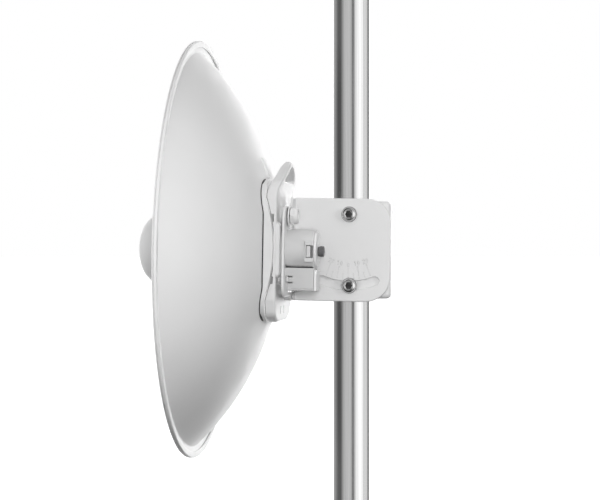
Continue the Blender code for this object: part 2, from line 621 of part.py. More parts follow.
def make_cover(antenna):
    """Rear cover with the carry loop moulded on its upper end."""
    quarter = swelling(LOOP_HOLE_HALF_WIDTH, LOOP_HOLE_TOP - LOOP_FOOT, LOOP_HOLE_FULLNESS, LOOP_STEPS)
    hole = mirrored([(across, LOOP_FOOT + rise) for across, rise in quarter])
    far = COVER_FACE - COVER_ENDS
    bm = flat_shape([cover_outline(), hole], far, COVER_FACE, "X")
    shaped(bm, [(far, cover_front), (COVER_FACE, cover_rear)], ARCH_RISES + [LOOP_FOOT])
    cover = place("rear_cover", bm, white_plastic("cover_plastic"), antenna, HOUSING_CENTRE)
    root = COVER_FACE - BOSS_ROOT
    face = FLANGE_FRONT - GAP
    boss = turned([(0.0, root), (BOSS_RADIUS + BOSS_FLARE, root), (BOSS_RADIUS, face), (STUD_RADIUS, face),
                   (STUD_RADIUS, STUD_TIP), (0.0, STUD_TIP)], SMALL, "X")
    bmesh.ops.translate(boss, vec=(0, STUD_ACROSS_AT, STUD_RISE), verts=boss.verts)
    boolean(cover, helper("stud_boss", boss, antenna, HOUSING_CENTRE), "UNION")
    hole = SCREW_RADIUS + GAP
    bottom = face - SCREW_GRIP - GAP
    for label, across, rise in SCREW_SPOTS:
        boss = turned([(0.0, root), (SCREW_BOSS_RADIUS, root), (SCREW_BOSS_RADIUS, face), (hole, face),
                       (hole, bottom), (0.0, bottom)], TINY, "X")
        bmesh.ops.translate(boss, vec=(0, across, rise), verts=boss.verts)
        boolean(cover, helper(f"screw_boss_{label}", boss, antenna, HOUSING_CENTRE), "UNION")


def make_fixings(antenna):
    """Washer and nut on the stud, and the screws through the bracket's flange."""
    start = FLANGE_REAR + GAP
    hole = circle((0, 0), STUD_RADIUS + GAP)
    centre = Vector(HOUSING_CENTRE)
    spot = centre + Vector((0.0, STUD_ACROSS_AT, STUD_RISE))
    washer = flat_shape([circle((0, 0), FIXING_WASHER_RADIUS, SMALL), hole], start, start + FIXING_WASHER, "X")
    place("fixing_washer", washer, white_paint("fixing_washer_paint"), antenna, spot)
    nut = flat_shape([hexagon((0, 0), FIXING_NUT_ACROSS), hole], NUT_START, NUT_START + FIXING_NUT, "X")
    place("fixing_nut", nut, white_paint("fixing_nut_paint"), antenna, spot)
    for label, across, rise in SCREW_SPOTS:
        spot = centre + Vector((0.0, across, rise))
        screw = turned([(0.0, FLANGE_FRONT - GAP - SCREW_GRIP), (SCREW_RADIUS, FLANGE_FRONT - GAP - SCREW_GRIP),
                        (SCREW_RADIUS, start), (SCREW_HEAD_RADIUS, start),
                        (SCREW_HEAD_RADIUS, start + SCREW_HEAD / 2),
                        (SCREW_HEAD_RADIUS * 0.7, start + SCREW_HEAD), (0.0, start + SCREW_HEAD)], TINY, "X")
        place(f"fixing_screw_{label}", screw, white_paint(f"fixing_screw_paint_{label}"), antenna, spot)


def make_barrel(antenna):
    """Round barrel on the housing's centre line with its end cap, release knob and latch window."""
    start = COVER_FACE + GAP
    barrel = place("rear_barrel", turned([(0.0, start), (BARREL_RADIUS, start), (BARREL_RADIUS, BARREL_END),
                                          (0.0, BARREL_END)], BARREL_SIDES, "X"),
                   white_plastic("barrel_plastic"), antenna, HOUSING_CENTRE)
    frame_face = -BARREL_RADIUS - LATCH_PROUD
    floor = -BARREL_RADIUS + LATCH_DEPTH
    pocket_start = LATCH_START + LATCH_WALL
    pocket_low, pocket_high = LATCH_LOW + LATCH_BAND, LATCH_HIGH - LATCH_BAND
    frame_end = BARREL_END - LATCH_SETBACK
    raised = block((LATCH_START, frame_face, LATCH_LOW), (frame_end, -BARREL_RADIUS / 2, LATCH_HIGH))
    pocket = block((pocket_start, frame_face - LATCH_PROUD, pocket_low),
                   (frame_end - LATCH_END_WALL, floor, pocket_high))
    boolean(barrel, helper("latch_frame", raised, antenna, HOUSING_CENTRE), "UNION")
    boolean(barrel, helper("latch_pocket", pocket, antenna, HOUSING_CENTRE), "DIFFERENCE")
    tab_start = pocket_start + GAP
    tab = block((tab_start, frame_face + LATCH_TAB_SINK, pocket_low + LATCH_END_WALL),
                (tab_start + LATCH_TAB_LENGTH, floor - GAP, pocket_high - GAP))
    place("latch_tab", tab, white_plastic("latch_plastic"), antenna, HOUSING_CENTRE)

    cap_start = BARREL_END + GAP
    cap_end = cap_start + BARREL_CAP
    cap = [(0.0, cap_start), (BARREL_RADIUS, cap_start), (BARREL_RADIUS - BARREL_CAP_EDGE, cap_end),
           (0.0, cap_end)]
    place("barrel_cap", turned(cap, BARREL_SIDES, "X"), white_plastic("barrel_cap_plastic"), antenna,
          HOUSING_CENTRE)
    knob_start = cap_end + GAP
    knob = [(0.0, knob_start), (KNOB_RADIUS * 0.85, knob_start), (KNOB_RADIUS, knob_start + KNOB_LENGTH * 0.5),
            (KNOB_RADIUS * 0.9, knob_start + KNOB_LENGTH), (KNOB_RADIUS * 0.5, knob_start + KNOB_LENGTH * 0.85),
            (0.0, knob_start + KNOB_LENGTH * 0.8)]
    place("release_knob", turned(knob, TINY, "X"), dark_plastic("knob_plastic"), antenna,
          Vector(HOUSING_CENTRE) - Vector((0.0, 0.0, KNOB_DROP)))


def make_port(antenna):
    """Cable port housing under the barrel with its end piece."""
    start = COVER_FACE + GAP
    port = place("cable_port", block((start, PORT_NEAR, PORT_BOTTOM), (PORT_END, PORT_FAR, PORT_TOP)),
                 white_plastic("port_plastic"), antenna, HOUSING_CENTRE)
    hollow = BARREL_RADIUS + GAP
    room = turned([(0.0, start - hollow), (hollow, start - hollow), (hollow, PORT_END + hollow),
                   (0.0, PORT_END + hollow)], BARREL_SIDES, "X")
    boolean(port, helper("port_room", room, antenna, HOUSING_CENTRE), "DIFFERENCE")
    end_start = PORT_END + GAP
    end = block((end_start, PORT_NEAR, PORT_BOTTOM), (end_start + PORT_CAP, PORT_FAR, -BARREL_RADIUS - GAP))
    place("port_end", end, white_plastic("port_end_plastic"), antenna, HOUSING_CENTRE)


def build():
    for leftover in list(bpy.data.objects):
        bpy.data.objects.remove(leftover)
    clamp = empty("clamp_swivel", (0.0, 0.0, AXIS_HEIGHT))
    antenna = empty("antenna_tilt", (TILT_BOLT_X, 0.0, AXIS_HEIGHT + PIVOT_RISE),
                    rotation=(0.0, REST_TILT, 0.0))
    make_mast()
    make_clamp(clamp)
    make_tilt_bolt("pivot", clamp, PIVOT_RISE)
    make_tilt_bolt("slot", clamp, -PIVOT_RISE)
    make_tilt_bracket(antenna)
    make_reflector(antenna)
    make_feed(antenna)
    make_base(antenna)
    make_cover(antenna)
    make_fixings(antenna)
    make_barrel(antenna)
    make_port(antenna)


build()
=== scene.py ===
from math import asin, ceil, copysign, cos, degrees, dist, pi, radians, sin, sqrt, tan, tau

import bmesh
import bpy
from mathutils import Matrix, Vector


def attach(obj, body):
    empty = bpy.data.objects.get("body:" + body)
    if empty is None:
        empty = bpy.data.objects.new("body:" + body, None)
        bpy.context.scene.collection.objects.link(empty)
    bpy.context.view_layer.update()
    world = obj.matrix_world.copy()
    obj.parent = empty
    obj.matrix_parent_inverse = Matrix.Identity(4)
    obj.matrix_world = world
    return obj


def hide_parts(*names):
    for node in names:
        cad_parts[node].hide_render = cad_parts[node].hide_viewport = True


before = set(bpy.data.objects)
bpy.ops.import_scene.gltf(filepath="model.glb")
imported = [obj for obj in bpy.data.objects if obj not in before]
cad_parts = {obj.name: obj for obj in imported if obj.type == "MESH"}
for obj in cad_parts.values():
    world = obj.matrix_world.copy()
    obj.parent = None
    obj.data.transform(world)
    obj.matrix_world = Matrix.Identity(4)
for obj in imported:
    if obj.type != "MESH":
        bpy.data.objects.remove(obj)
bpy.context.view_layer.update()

# The photograph's camera
DISH_AXIS = Vector((-0.0455, -0.06, 0.3))
VIEW_DISTANCE = 1.6
VIEW_AZIMUTH = radians(7.75)
FOCAL_PIXELS = 1600.0
PHOTO_WIDTH = 600
SENSOR_MM = 36.0

# Frames that the pieces are drawn in, each with the body that it belongs to
MID_HEIGHT = 0.3
PIVOT_X, PIVOT_RISE = 0.0015, 0.036
NOSE_UP = radians(1.0)
DISH_DROP = 0.0021
MAST = (Matrix.Identity(4), "mast")
CLAMP = (Matrix.Translation((0.0, 0.0, MID_HEIGHT)), "clamp")
ANTENNA = (Matrix.Translation((PIVOT_X, 0.0, MID_HEIGHT + PIVOT_RISE)) @ Matrix.Rotation(NOSE_UP, 4, "Y")
           @ Matrix.Translation((-PIVOT_X, DISH_AXIS.y, -PIVOT_RISE)), "antenna")

# Sizes in metres that several pieces share
BOLT_RADIUS, BOLT_HOLE = 0.004, 0.0045
NUT_ACROSS, NUT_HOLE, NUT_SEAT = 0.0128, 0.0043, -0.0294
STUD = (-0.032, 0.0325)
SCREWS = {"near": (-0.035, -0.03), "upper": (0.009, 0.037), "lower": (0.009, -0.0477)}
EDGE = 0.0003  # rounding of fine edges
TINY = 1e-7  # distance that counts as none


def spot(place, x, y, z):
    """A frame moved by a distance, on the same body."""
    return place[0] @ Matrix.Translation((x, y, z)), place[1]


DISH = spot(ANTENNA, 0.0, 0.0, -DISH_DROP)


# Outlines

def arc(centre, radius, start, end, steps):
    angles = [radians(start + (end - start) * step / steps) for step in range(steps + 1)]
    return [(centre[0] + radius * cos(angle), centre[1] + radius * sin(angle)) for angle in angles]


def circle(centre, radius, sides=48):
    return arc(centre, radius, 0, 360, sides)[:-1]


def fillet(points, radii, steps=6, closed=True):
    """Rounds each corner of an outline by its own radius."""
    if not isinstance(radii, (list, tuple)):
        radii = [radii] * len(points)
    made = []
    count = len(points)
    for index, (point, radius) in enumerate(zip(points, radii)):
        here = Vector(point)
        back = Vector(points[index - 1]) - here
        ahead = Vector(points[(index + 1) % count]) - here
        angle = back.angle(ahead, pi)
        if radius <= 0 or (not closed and index in (0, count - 1)) or angle > radians(179):
            made.append(tuple(point))
            continue
        cut = min(radius / tan(angle / 2), back.length * 0.49, ahead.length * 0.49)
        radius = cut * tan(angle / 2)
        back.normalize()
        ahead.normalize()
        centre = here + (back + ahead).normalized() * radius / sin(angle / 2)
        first = here + back * cut - centre
        last = here + ahead * cut - centre
        turn = first.angle_signed(last)
        for step in range(steps + 1):
            share = -turn * step / steps
            made.append((centre.x + first.x * cos(share) - first.y * sin(share),
                         centre.y + first.x * sin(share) + first.y * cos(share)))
    return made


def rounded(corners, steps, closed=False):
    """Outline from corners, each (a, b) or (a, b, radius of its rounding)."""
    return fillet([corner[:2] for corner in corners], [sum(corner[2:]) for corner in corners], steps, closed)


def rectangle(left, right, low, high, radii, steps=6):
    return fillet([(left, low), (right, low), (right, high), (left, high)], radii, steps)


def mirrored(half):
    """Outline from its right half, which may end on the centre line."""
    return half + [(-a, b) for a, b in reversed(half) if a > TINY]


def swelling(width, height, fullness, steps):
    """Quarter of an oval, square for a high fullness and elliptic for 2."""
    quarter = arc((0, 0), 1, 0, 90, steps)
    return [(width * max(a, 0) ** (2 / fullness), height * max(b, 0) ** (2 / fullness)) for a, b in quarter]


def hex_point(across, angle):
    """Distance from a hexagon's centre to its side, with a corner at 0 degrees."""
    sixth = radians(60)
    return across / 2 / cos(angle % sixth - sixth / 2)


def area(outline):
    return sum(a[0] * b[1] - b[0] * a[1] for a, b in zip(outline, outline[1:] + outline[:1])) / 2


def tidy(outline, way):
    """Outline without points that lie on each other, anticlockwise for a way of 1, clockwise for -1."""
    nearest = 2e-5
    kept = []
    for point in outline:
        if not kept or dist(point, kept[-1]) > nearest:
            kept.append(point)
    if dist(kept[0], kept[-1]) <= nearest:
        kept.pop()
    return kept[::-1] if area(kept) * way < 0 else kept


def inset(outline, distance):
    """Outline moved to its left by a distance, or by one distance for each point."""
    count = len(outline)
    if not isinstance(distance, (list, tuple)):
        distance = [distance] * count
    made = []
    for index in range(count):
        here = Vector(outline[index])
        into = (here - Vector(outline[index - 1])).normalized()
        out = (Vector(outline[(index + 1) % count]) - here).normalized()
        left = Vector((-into.y - out.y, into.x + out.x)).normalized()
        reach = max(0.5, left.dot(Vector((-into.y, into.x))))
        made.append(tuple(here + left * distance[index] / reach))
    return made


# Meshes

def ring_of(bm, outline, level):
    return [bm.verts.new((a, b, level)) for a, b in outline]


def skin(bm, first, second):
    """Quads between two rings with the same number of points, triangles where points coincide."""
    count = len(first)
    for index in range(count):
        after = (index + 1) % count
        corners = list(dict.fromkeys((first[index], first[after], second[after], second[index])))
        if len(corners) > 2:
            bm.faces.new(corners)


def skin_all(bm, rings):
    for one, two in zip(rings, rings[1:]):
        skin(bm, one, two)


def cap(bm, rings):
    """Fills the flat area inside the first ring and outside the others."""
    edges = []
    for ring in rings:
        for one, two in zip(ring, ring[1:] + ring[:1]):
            edges.append(bm.edges.get((one, two)) or bm.edges.new((one, two)))
    bmesh.ops.triangle_fill(bm, use_beauty=True, use_dissolve=False, edges=edges)


def rounding(radius, steps):
    """Insets and heights along a rounded edge, from the flat face outwards."""
    if radius <= 0:
        return [(0.0, 0.0)]
    angles = [pi / 2 * step / steps for step in range(steps + 1)]
    return [(radius * (1 - sin(angle)), radius * (1 - cos(angle))) for angle in angles]


def slab(outlines, low, high, edges=(0.0004, 0.0004), steps=3, grooves=(), depth=0.0004, flat=0.0):
    """Sheet between two levels with rounded edges, from an outer outline and hole outlines.

    Grooves are sunk in the upper face, each an outline with any islands in it. Flat is the width
    of a strip inside the rounded edges, which keeps the faces' shading even. With it, holes have
    half the strip and half the rounding.
    """
    bm = bmesh.new()
    bottom, top = [], []
    for number, outline in enumerate(outlines):
        outline = tidy(outline, -1 if number else 1)
        lower, upper = [edge if number == 0 or flat == 0 else edge / 2 for edge in edges]
        strip = flat if number == 0 else flat / 2
        rings = [(distance, low + rise) for distance, rise in rounding(lower, steps)]
        rings += [(distance, high - rise) for distance, rise in reversed(rounding(upper, steps))]
        if flat > 0:
            rings = [(lower + strip, low)] + rings + [(upper + strip, high)]
        made = [ring_of(bm, inset(outline, distance), level) for distance, level in rings]
        skin_all(bm, made)
        bottom.append(made[0])
        top.append(made[-1])
    cap(bm, bottom)
    for groove in grooves:
        walls = []
        for outline in groove:
            outline = tidy(outline, 0)
            upper, lower = ring_of(bm, outline, high), ring_of(bm, outline, high - depth)
            skin(bm, upper, lower)
            walls.append((upper, lower))
        top.append(walls[0][0])
        cap(bm, [lower for _, lower in walls])
        for upper, _ in walls[1:]:
            cap(bm, [upper])
    cap(bm, top)
    return bm


def turned(bm, profile, sides):
    """Rings of a profile of (radius, along) points; a ring on the axis is one point."""
    return [ring_of(bm, circle((0, 0), radius, sides), along) if radius > TINY
            else [bm.verts.new((0.0, 0.0, along))] * sides for radius, along in profile]


def lathe(profile, sides=128, axis="X"):
    """Solid turned round an axis from its profile, which may start and end on the axis."""
    bm = bmesh.new()
    rings = turned(bm, profile, sides)
    skin_all(bm, rings)
    if max(profile[0][0], profile[-1][0]) > TINY:
        skin(bm, rings[-1], rings[0])
    return facing(bm, axis)


def turned_solid(corners, steps, sides=144, axis="X"):
    """Solid turned from the rounded corners of its profile, with flat ends."""
    return lathe(rounded([(0, corners[0][1])] + corners + [(0, corners[-1][1])], steps), sides, axis)


def facing(bm, axis):
    """Turns a mesh drawn along Z so that it runs along X or Y."""
    order = {"X": (2, 0, 1), "Y": (0, 2, 1), "Z": (0, 1, 2)}[axis]
    for vert in bm.verts:
        vert.co = [vert.co[index] for index in order]
    return bm


def hex_body(across, start, end, hole, chamfers=(1, 1)):
    """Hexagonal nut or head along Z with a hole. A chamfer is 1 if it is there and 0 if not."""
    bm = bmesh.new()
    sides = 72
    angles = [tau * index / sides for index in range(sides)]
    reach = [hex_point(across, angle) for angle in angles]
    crown, slope, bevel = across / 2 * 0.97, tan(radians(30)), 0.0006

    def ring(radii, level, way=0):
        return [bm.verts.new((far * cos(angle), far * sin(angle), level + way * slope * (far - crown)))
                for far, angle in zip(radii, angles)]

    def even(radius, level):
        return ring([radius] * sides, level)

    rings = [even(hole, start + bevel), even(hole + bevel, start)] if hole > 0 else []
    rings += [even(crown, start)] if chamfers[0] else []
    rings += [ring(reach, start, chamfers[0]), ring(reach, end, -chamfers[1])]
    rings += [even(crown, end)] if chamfers[1] else []
    rings += [even(hole + bevel, end), even(hole, end - bevel), rings[0]] if hole > 0 else []
    skin_all(bm, rings)
    if hole <= 0:
        cap(bm, [rings[0]])
        cap(bm, [rings[-1]])
    return bm


def thread(radius, start, end):
    """Profile of a threaded shank between two levels, with a bevelled tip at its end."""
    pitch, tip, crest, root, root_share = 0.00125, 0.0006, 0.35, 0.65, 0.9
    points = [(radius, start)]
    turns = max(1, int(abs(end - start - tip) / pitch))
    step = (end - start) / (turns + 1)
    for turn in range(turns):
        points += [(radius, start + step * (turn + crest)),
                   (radius * root_share, start + step * (turn + root))]
    points += [(radius, start + step * turns), (radius, end - copysign(tip, end - start)),
               (radius - tip, end), (0.0, end)]
    return points


def box(low, high, edge, steps):
    """Block with rounded edges."""
    outline = rectangle(low[0], high[0], low[1], high[1], edge, steps)
    return slab([outline], low[2], high[2], (edge, edge), steps)


def join(*parts):
    """One mesh from several closed ones."""
    whole = bmesh.new()
    for part in parts:
        table = {vert: whole.verts.new(vert.co) for vert in part.verts}
        for face in part.faces:
            whole.faces.new([table[vert] for vert in face.verts])
        part.free()
    return whole


def sliced(bm, places, normal=(0, 0, 1)):
    """Adds edges to a mesh where planes cross it."""
    for place in places:
        bmesh.ops.bisect_plane(bm, geom=bm.verts[:] + bm.edges[:] + bm.faces[:],
                               plane_co=[place * part for part in normal], plane_no=normal, dist=TINY)


def moved(bm, across, rise):
    bmesh.ops.translate(bm, vec=(0, across, rise), verts=bm.verts)
    return bm


def linked(name, data):
    """New object in the scene."""
    made = bpy.data.objects.new(name, data)
    bpy.context.scene.collection.objects.link(made)
    return made


def mesh_of(name, bm):
    mesh = bpy.data.meshes.new(name)
    bm.to_mesh(mesh)
    bm.free()
    return mesh


def plain_object(bm):
    bmesh.ops.recalc_face_normals(bm, faces=bm.faces)
    return linked("step", mesh_of("step", bm))


def carve(bm, cutters, operation="DIFFERENCE"):
    """The mesh after cutting away, or adding, other closed meshes."""
    target = plain_object(bm)
    others = [plain_object(cutter) for cutter in cutters]
    for other in others:
        step = target.modifiers.new("step", "BOOLEAN")
        step.operation = operation
        step.solver = "EXACT"
        step.object = other
    bpy.context.view_layer.update()
    evaluated = target.evaluated_get(bpy.context.evaluated_depsgraph_get())
    result = bmesh.new()
    result.from_mesh(evaluated.to_mesh())
    evaluated.to_mesh_clear()
    for item in [target] + others:
        mesh = item.data
        bpy.data.objects.remove(item)
        bpy.data.meshes.remove(mesh)
    return result


def piece(name, bm, place, finish, nodes=(), sharp=32.0, weighted=True):
    """Named object from a mesh, on its body, in the place of the CAD nodes that it stands for."""
    matrix, body = place
    surface, slot = finish
    bmesh.ops.remove_doubles(bm, verts=bm.verts, dist=TINY)
    bmesh.ops.recalc_face_normals(bm, faces=bm.faces)
    bmesh.ops.transform(bm, matrix=matrix, verts=bm.verts)
    mesh = mesh_of(name, bm)
    mesh.materials.append(surface)
    mesh.shade_smooth()
    mesh.set_sharp_from_angle(angle=radians(sharp))
    made = linked(name, mesh)
    if weighted:
        step = made.modifiers.new("flat_faces", "WEIGHTED_NORMAL")
        step.keep_sharp = True
        step.weight = 90
    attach(made, body)
    if nodes:
        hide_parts(*nodes)
    return made


# Materials

# Sockets of a Mix node for colours, which share their names with those for other types
MIX_SHARE, MIX_FIRST, MIX_SECOND, MIX_RESULT = 0, 6, 7, 2
# colour that the painted shade in sockets, seams and gaps fades to
DEEP_SHADE = (0.012, 0.012, 0.012)


def grey(level):
    return (level, level, level)


def set_sockets(node, values):
    for socket, value in values.items():
        node.inputs[socket].default_value = value


def set_ramp(node, stops):
    """Gives a ramp its stops, each a place and a colour."""
    elements = node.color_ramp.elements
    while len(elements) < len(stops):
        elements.new(0.5)
    for element, (place, colour) in zip(elements, stops):
        element.position = place
        element.color = (*colour, 1.0)


class Surface:
    """Node material that grows from a Principled shader, with patterns in the object's own space."""

    def __init__(self, name, colour, roughness, metallic=0.0):
        self.material = bpy.data.materials.new(name)
        self.material.use_nodes = True
        self.nodes = self.material.node_tree.nodes
        self.links = self.material.node_tree.links
        self.shader = self.nodes["Principled BSDF"]
        set_sockets(self.shader, {"Base Color": (*colour, 1.0), "Roughness": roughness, "Metallic": metallic})
        self.place = self.nodes.new("ShaderNodeTexCoord").outputs["Object"]

    def add(self, kind, values, link=None):
        """Node with values on its sockets and one link, given as its value and the socket's name."""
        node = self.nodes.new(kind)
        set_sockets(node, values)
        if link:
            self.links.new(link[0], node.inputs[link[1]])
        return node

    def stretched(self, scale):
        return self.add("ShaderNodeMapping", {"Scale": scale}, (self.place, "Vector")).outputs["Vector"]

    def noise(self, scale, detail=3.0, roughness=0.5, space=None):
        node = self.add("ShaderNodeTexNoise", {"Scale": scale, "Detail": detail, "Roughness": roughness},
                        (space or self.place, "Vector"))
        return node.outputs["Fac"]

    def spread(self, value, low, high, from_low=0.3, from_high=0.7):
        node = self.add("ShaderNodeMapRange", {"From Min": from_low, "From Max": from_high, "To Min": low,
                                               "To Max": high}, (value, "Value"))
        return node.outputs["Result"]

    def colours(self, value, low, high, places=(0.3, 0.7)):
        node = self.add("ShaderNodeValToRGB", {}, (value, "Fac"))
        set_ramp(node, list(zip(places, (low, high))))
        self.links.new(node.outputs["Color"], self.shader.inputs["Base Color"])

    def shade(self, reach, dark):
        """Painted shade in sockets, seams and gaps: the colour fades to dark where little light gets in."""
        node = self.add("ShaderNodeAmbientOcclusion", {"Distance": reach})
        node.samples = 8
        depth = self.spread(node.outputs["AO"], 1.0, 0.0, *dark)
        mix = self.nodes.new("ShaderNodeMix")
        mix.data_type = "RGBA"
        before = self.shader.inputs["Base Color"].links[0].from_socket
        self.links.new(depth, mix.inputs[MIX_SHARE])
        self.links.new(before, mix.inputs[MIX_FIRST])
        mix.inputs[MIX_SECOND].default_value = (*DEEP_SHADE, 1.0)
        self.links.new(mix.outputs[MIX_RESULT], self.shader.inputs["Base Color"])

    def rough(self, value, low, high):
        """Roughness that follows a pattern between two values."""
        self.links.new(self.spread(value, low, high), self.shader.inputs["Roughness"])

    def bump(self, value, strength, distance):
        node = self.add("ShaderNodeBump", {"Strength": strength, "Distance": distance}, (value, "Height"))
        self.links.new(node.outputs["Normal"], self.shader.inputs["Normal"])


def powder_coat(name, level, roughness, gloss=0.5, coat=0.08, reach=0.002):
    """Satin powder coat: orange peel, faint cloudiness and a few dull spots, with painted shade in its seams
    and hollows.
    """
    made = Surface(name, grey(level), roughness)
    made.colours(made.noise(14.0, detail=4.0), grey(level * 0.975), grey(level * 1.01))
    made.rough(made.noise(55.0), low=roughness - 0.05, high=roughness + 0.07)
    made.bump(made.noise(420.0, detail=2.0), strength=0.1, distance=0.0004)
    # painted shade: the coat darkens where ambient occlusion finds little room for light
    made.shade(reach, dark=(0.05, 0.42))
    set_sockets(made.shader, {"Specular IOR Level": gloss, "Coat Weight": coat, "Coat Roughness": 0.22})
    return made.material


def moulded(name, level, roughness, grain=1500.0, tint=1.0, reach=0.003):
    """Moulded plastic: fine spark-eroded grain and slow changes of tone, with painted shade in its seams and
    pockets.
    """
    colour = (level, level, level * tint)
    made = Surface(name, colour, roughness)
    made.colours(made.noise(22.0), tuple(part * 0.97 for part in colour),
                 tuple(part * 1.01 for part in colour))
    made.rough(made.noise(90.0), low=roughness - 0.05, high=roughness + 0.06)
    made.bump(made.noise(grain, roughness=0.6), strength=0.16, distance=0.00025)
    # painted shade in seams, gaps and pockets
    made.shade(reach, dark=(0.05, 0.28))
    return made.material


def drawn_steel(name):
    """Bright drawn tube: hairlines that run along its length."""
    made = Surface(name, grey(0.62), roughness=0.16, metallic=1.0)
    lines = made.noise(1.0, detail=6.0, roughness=0.65, space=made.stretched((1400.0, 1400.0, 5.0)))
    clouds = made.noise(1.0, space=made.stretched((60.0, 60.0, 7.0)))
    made.colours(lines, grey(0.54), grey(0.7), places=(0.25, 0.75))
    made.rough(clouds, low=0.1, high=0.2)
    made.bump(lines, strength=0.1, distance=0.0001)
    return made.material


def bright_steel(name):
    """Polished stainless steel with fine turning marks, and painted shade that darkens its socket."""
    made = Surface(name, grey(0.66), roughness=0.1, metallic=1.0)
    made.colours(made.noise(300.0), grey(0.6), grey(0.7))
    made.rough(made.noise(700.0), low=0.06, high=0.18)
    made.bump(made.noise(2200.0, detail=2.0), strength=0.05, distance=0.0001)
    # painted shade: the socket and the gaps round the head go dark
    made.shade(reach=0.006, dark=(0.35, 0.8))
    return made.material


def zinc(name):
    """Zinc plated steel: dull, mottled, a little warm."""
    made = Surface(name, (0.6, 0.6, 0.585), roughness=0.33, metallic=1.0)
    made.colours(made.noise(160.0, detail=4.0), (0.5, 0.5, 0.485), (0.66, 0.66, 0.64))
    made.rough(made.noise(260.0, detail=4.0), low=0.26, high=0.46)
    made.bump(made.noise(900.0), strength=0.08, distance=0.0002)
    return made.material


# Each finish with the record's slot that it stands for
# the dish's longer reach deepens the painted shade in its hem slit and rim groove
DISH_COAT = (powder_coat("dish_coat", 0.83, 0.42, gloss=0.35, coat=0.04, reach=0.005), "dish_paint")
PLATE_COAT = (powder_coat("bracket_coat", 0.83, 0.36), "white_paint")
HOUSING = (moulded("housing_plastic", 0.8, 0.44), "white_plastic")
# the barrel's longer reach paints black shade into the latch pocket and darker shade along its seams
BARREL = (moulded("barrel_plastic", 0.74, 0.42, grain=1800.0, reach=0.006), "white_plastic")
FEED = (moulded("feed_plastic", 0.78, 0.36, grain=1800.0), "white_plastic")
KNOB = (moulded("knob_plastic", 0.13, 0.26, grain=1200.0, tint=1.03), "dark_plastic")
# painted light: a brighter copy of the white plastic, standing in for light that the barrel's end cap and the
# port's end cover don't get
PAINTED_BRIGHT_END = (moulded("end_plastic_painted_bright", 0.93, 0.4), "white_plastic")
# a darker grey than the other white plastic, so that the port's sides come out darker
PORT = (moulded("port_plastic", 0.67, 0.42, grain=1800.0), "white_plastic")
CAP = (moulded("cap_plastic", 0.045, 0.55, grain=1000.0, tint=1.04), "dark_plastic")
TUBE = (drawn_steel("drawn_tube"), "mast_steel")
CHROME = (bright_steel("polished_bolt"), "bright_steel")
ZINC = (zinc("zinc_plate"), "zinc_steel")


# Mast

def make_mast():
    outer, inner, length = 0.01905, 0.01705, 0.6
    tube = rectangle(inner, outer, 0.0, length, EDGE, 3)
    piece("mast", lathe(tube, 192, "Z"), MAST, TUBE, ["mast_tube"])
    lid = rounded([(0, 0.6043), (0.0185, 0.604, 0.004), (0.02055, 0.603, 0.0012), (0.02055, 0.6003, EDGE),
                   (0.01675, 0.6003, 0.0002), (0.01675, 0.5853, 0.0006), (0, 0.5853)], 4)
    ribs = []
    count = 8
    for index in range(count):
        rib = slab([rectangle(0.0155, 0.01695, -0.0006, 0.0006, EDGE, 2)], 0.587, 0.5995, (EDGE, 0.0), 2)
        turn = Matrix.Rotation(tau * index / count, 3, "Z")
        bmesh.ops.rotate(rib, cent=(0, 0, 0), matrix=turn, verts=rib.verts)
        ribs.append(rib)
    piece("mast_cap", join(lathe(lid, 96, "Z"), *ribs), MAST, CAP, ["mast_top_cap"])
    plug = turned_solid([(0.01675, 0.015, 0.0008), (0.01675, 0, 0.0005), (0.013, 0, EDGE),
                         (0.013, 0.0025, 0.0005)], 3, 96, "Z")
    piece("mast_plug", plug, MAST, CAP, ["mast_foot_plug"])


# Clamp

CLAMP_SHEET = 0.003


def pan(outline, holes, face, bend, rim, bent):
    """Pressed sheet from a level, with its rim bent over.

    For each point of the outline, bent gives the share of the bend that it has, and rim the level
    that the bent rim reaches. A share of 0 leaves the sheet flat, with a small rounding.
    """
    bm = bmesh.new()
    outline = tidy(outline, 1)
    steps = 5
    inner_face, inner_bend = face + CLAMP_SHEET, bend - CLAMP_SHEET
    flat_share, flat_edge, flat_start, least_wall = 0.02, 0.0006, 0.0008, 0.0002
    shares = [bent(*point) for point in outline]
    ends = [max(rim(*point), inner_face if share < flat_share else face + bend + least_wall)
            for share, point in zip(shares, outline)]
    rings = []

    def ring(distances, levels):
        spots = zip(inset(outline, distances), levels)
        rings.append([bm.verts.new((a, b, level)) for (a, b), level in spots])

    for step, (run, rise) in enumerate(rounding(bend, steps)):
        ring([run * share + bend * (1 - step / steps) * (1 - share) for share in shares],
             [face + rise * share for share in shares])
    ring([0.0] * len(outline), [end - EDGE for end in ends])
    ring([EDGE] * len(outline), ends)
    ring([CLAMP_SHEET * share + flat_edge * (1 - share) for share in shares], ends)
    for step, (run, rise) in reversed(list(enumerate(rounding(inner_bend, steps)))):
        flat_run = flat_start + (bend - flat_start) * (1 - step / steps)
        ring([(CLAMP_SHEET + run) * share + flat_run * (1 - share) for share in shares],
             [(inner_face + rise) * share + inner_face * (1 - share) for share in shares])
    skin_all(bm, rings)
    near, far = [rings[0]], [rings[-1]]
    for hole in holes:
        hole = tidy(hole, -1)
        levels = (face, face + EDGE, inner_face - EDGE, inner_face)
        made = [ring_of(bm, inset(hole, distance), level)
                for distance, level in zip((EDGE, 0.0, 0.0, EDGE), levels)]
        skin_all(bm, made)
        near.append(made[0])
        far.append(made[-1])
    cap(bm, near)
    cap(bm, far)
    return facing(bm, "Y")


def dense(outline, spacing):
    """Outline with extra points, so that none lie further apart than the spacing."""
    made = []
    for one, two in zip(outline, outline[1:] + outline[:1]):
        count = max(1, ceil(dist(one, two) / spacing))
        for step in range(count):
            share = step / count
            made.append((one[0] + (two[0] - one[0]) * share, one[1] + (two[1] - one[1]) * share))
    return made


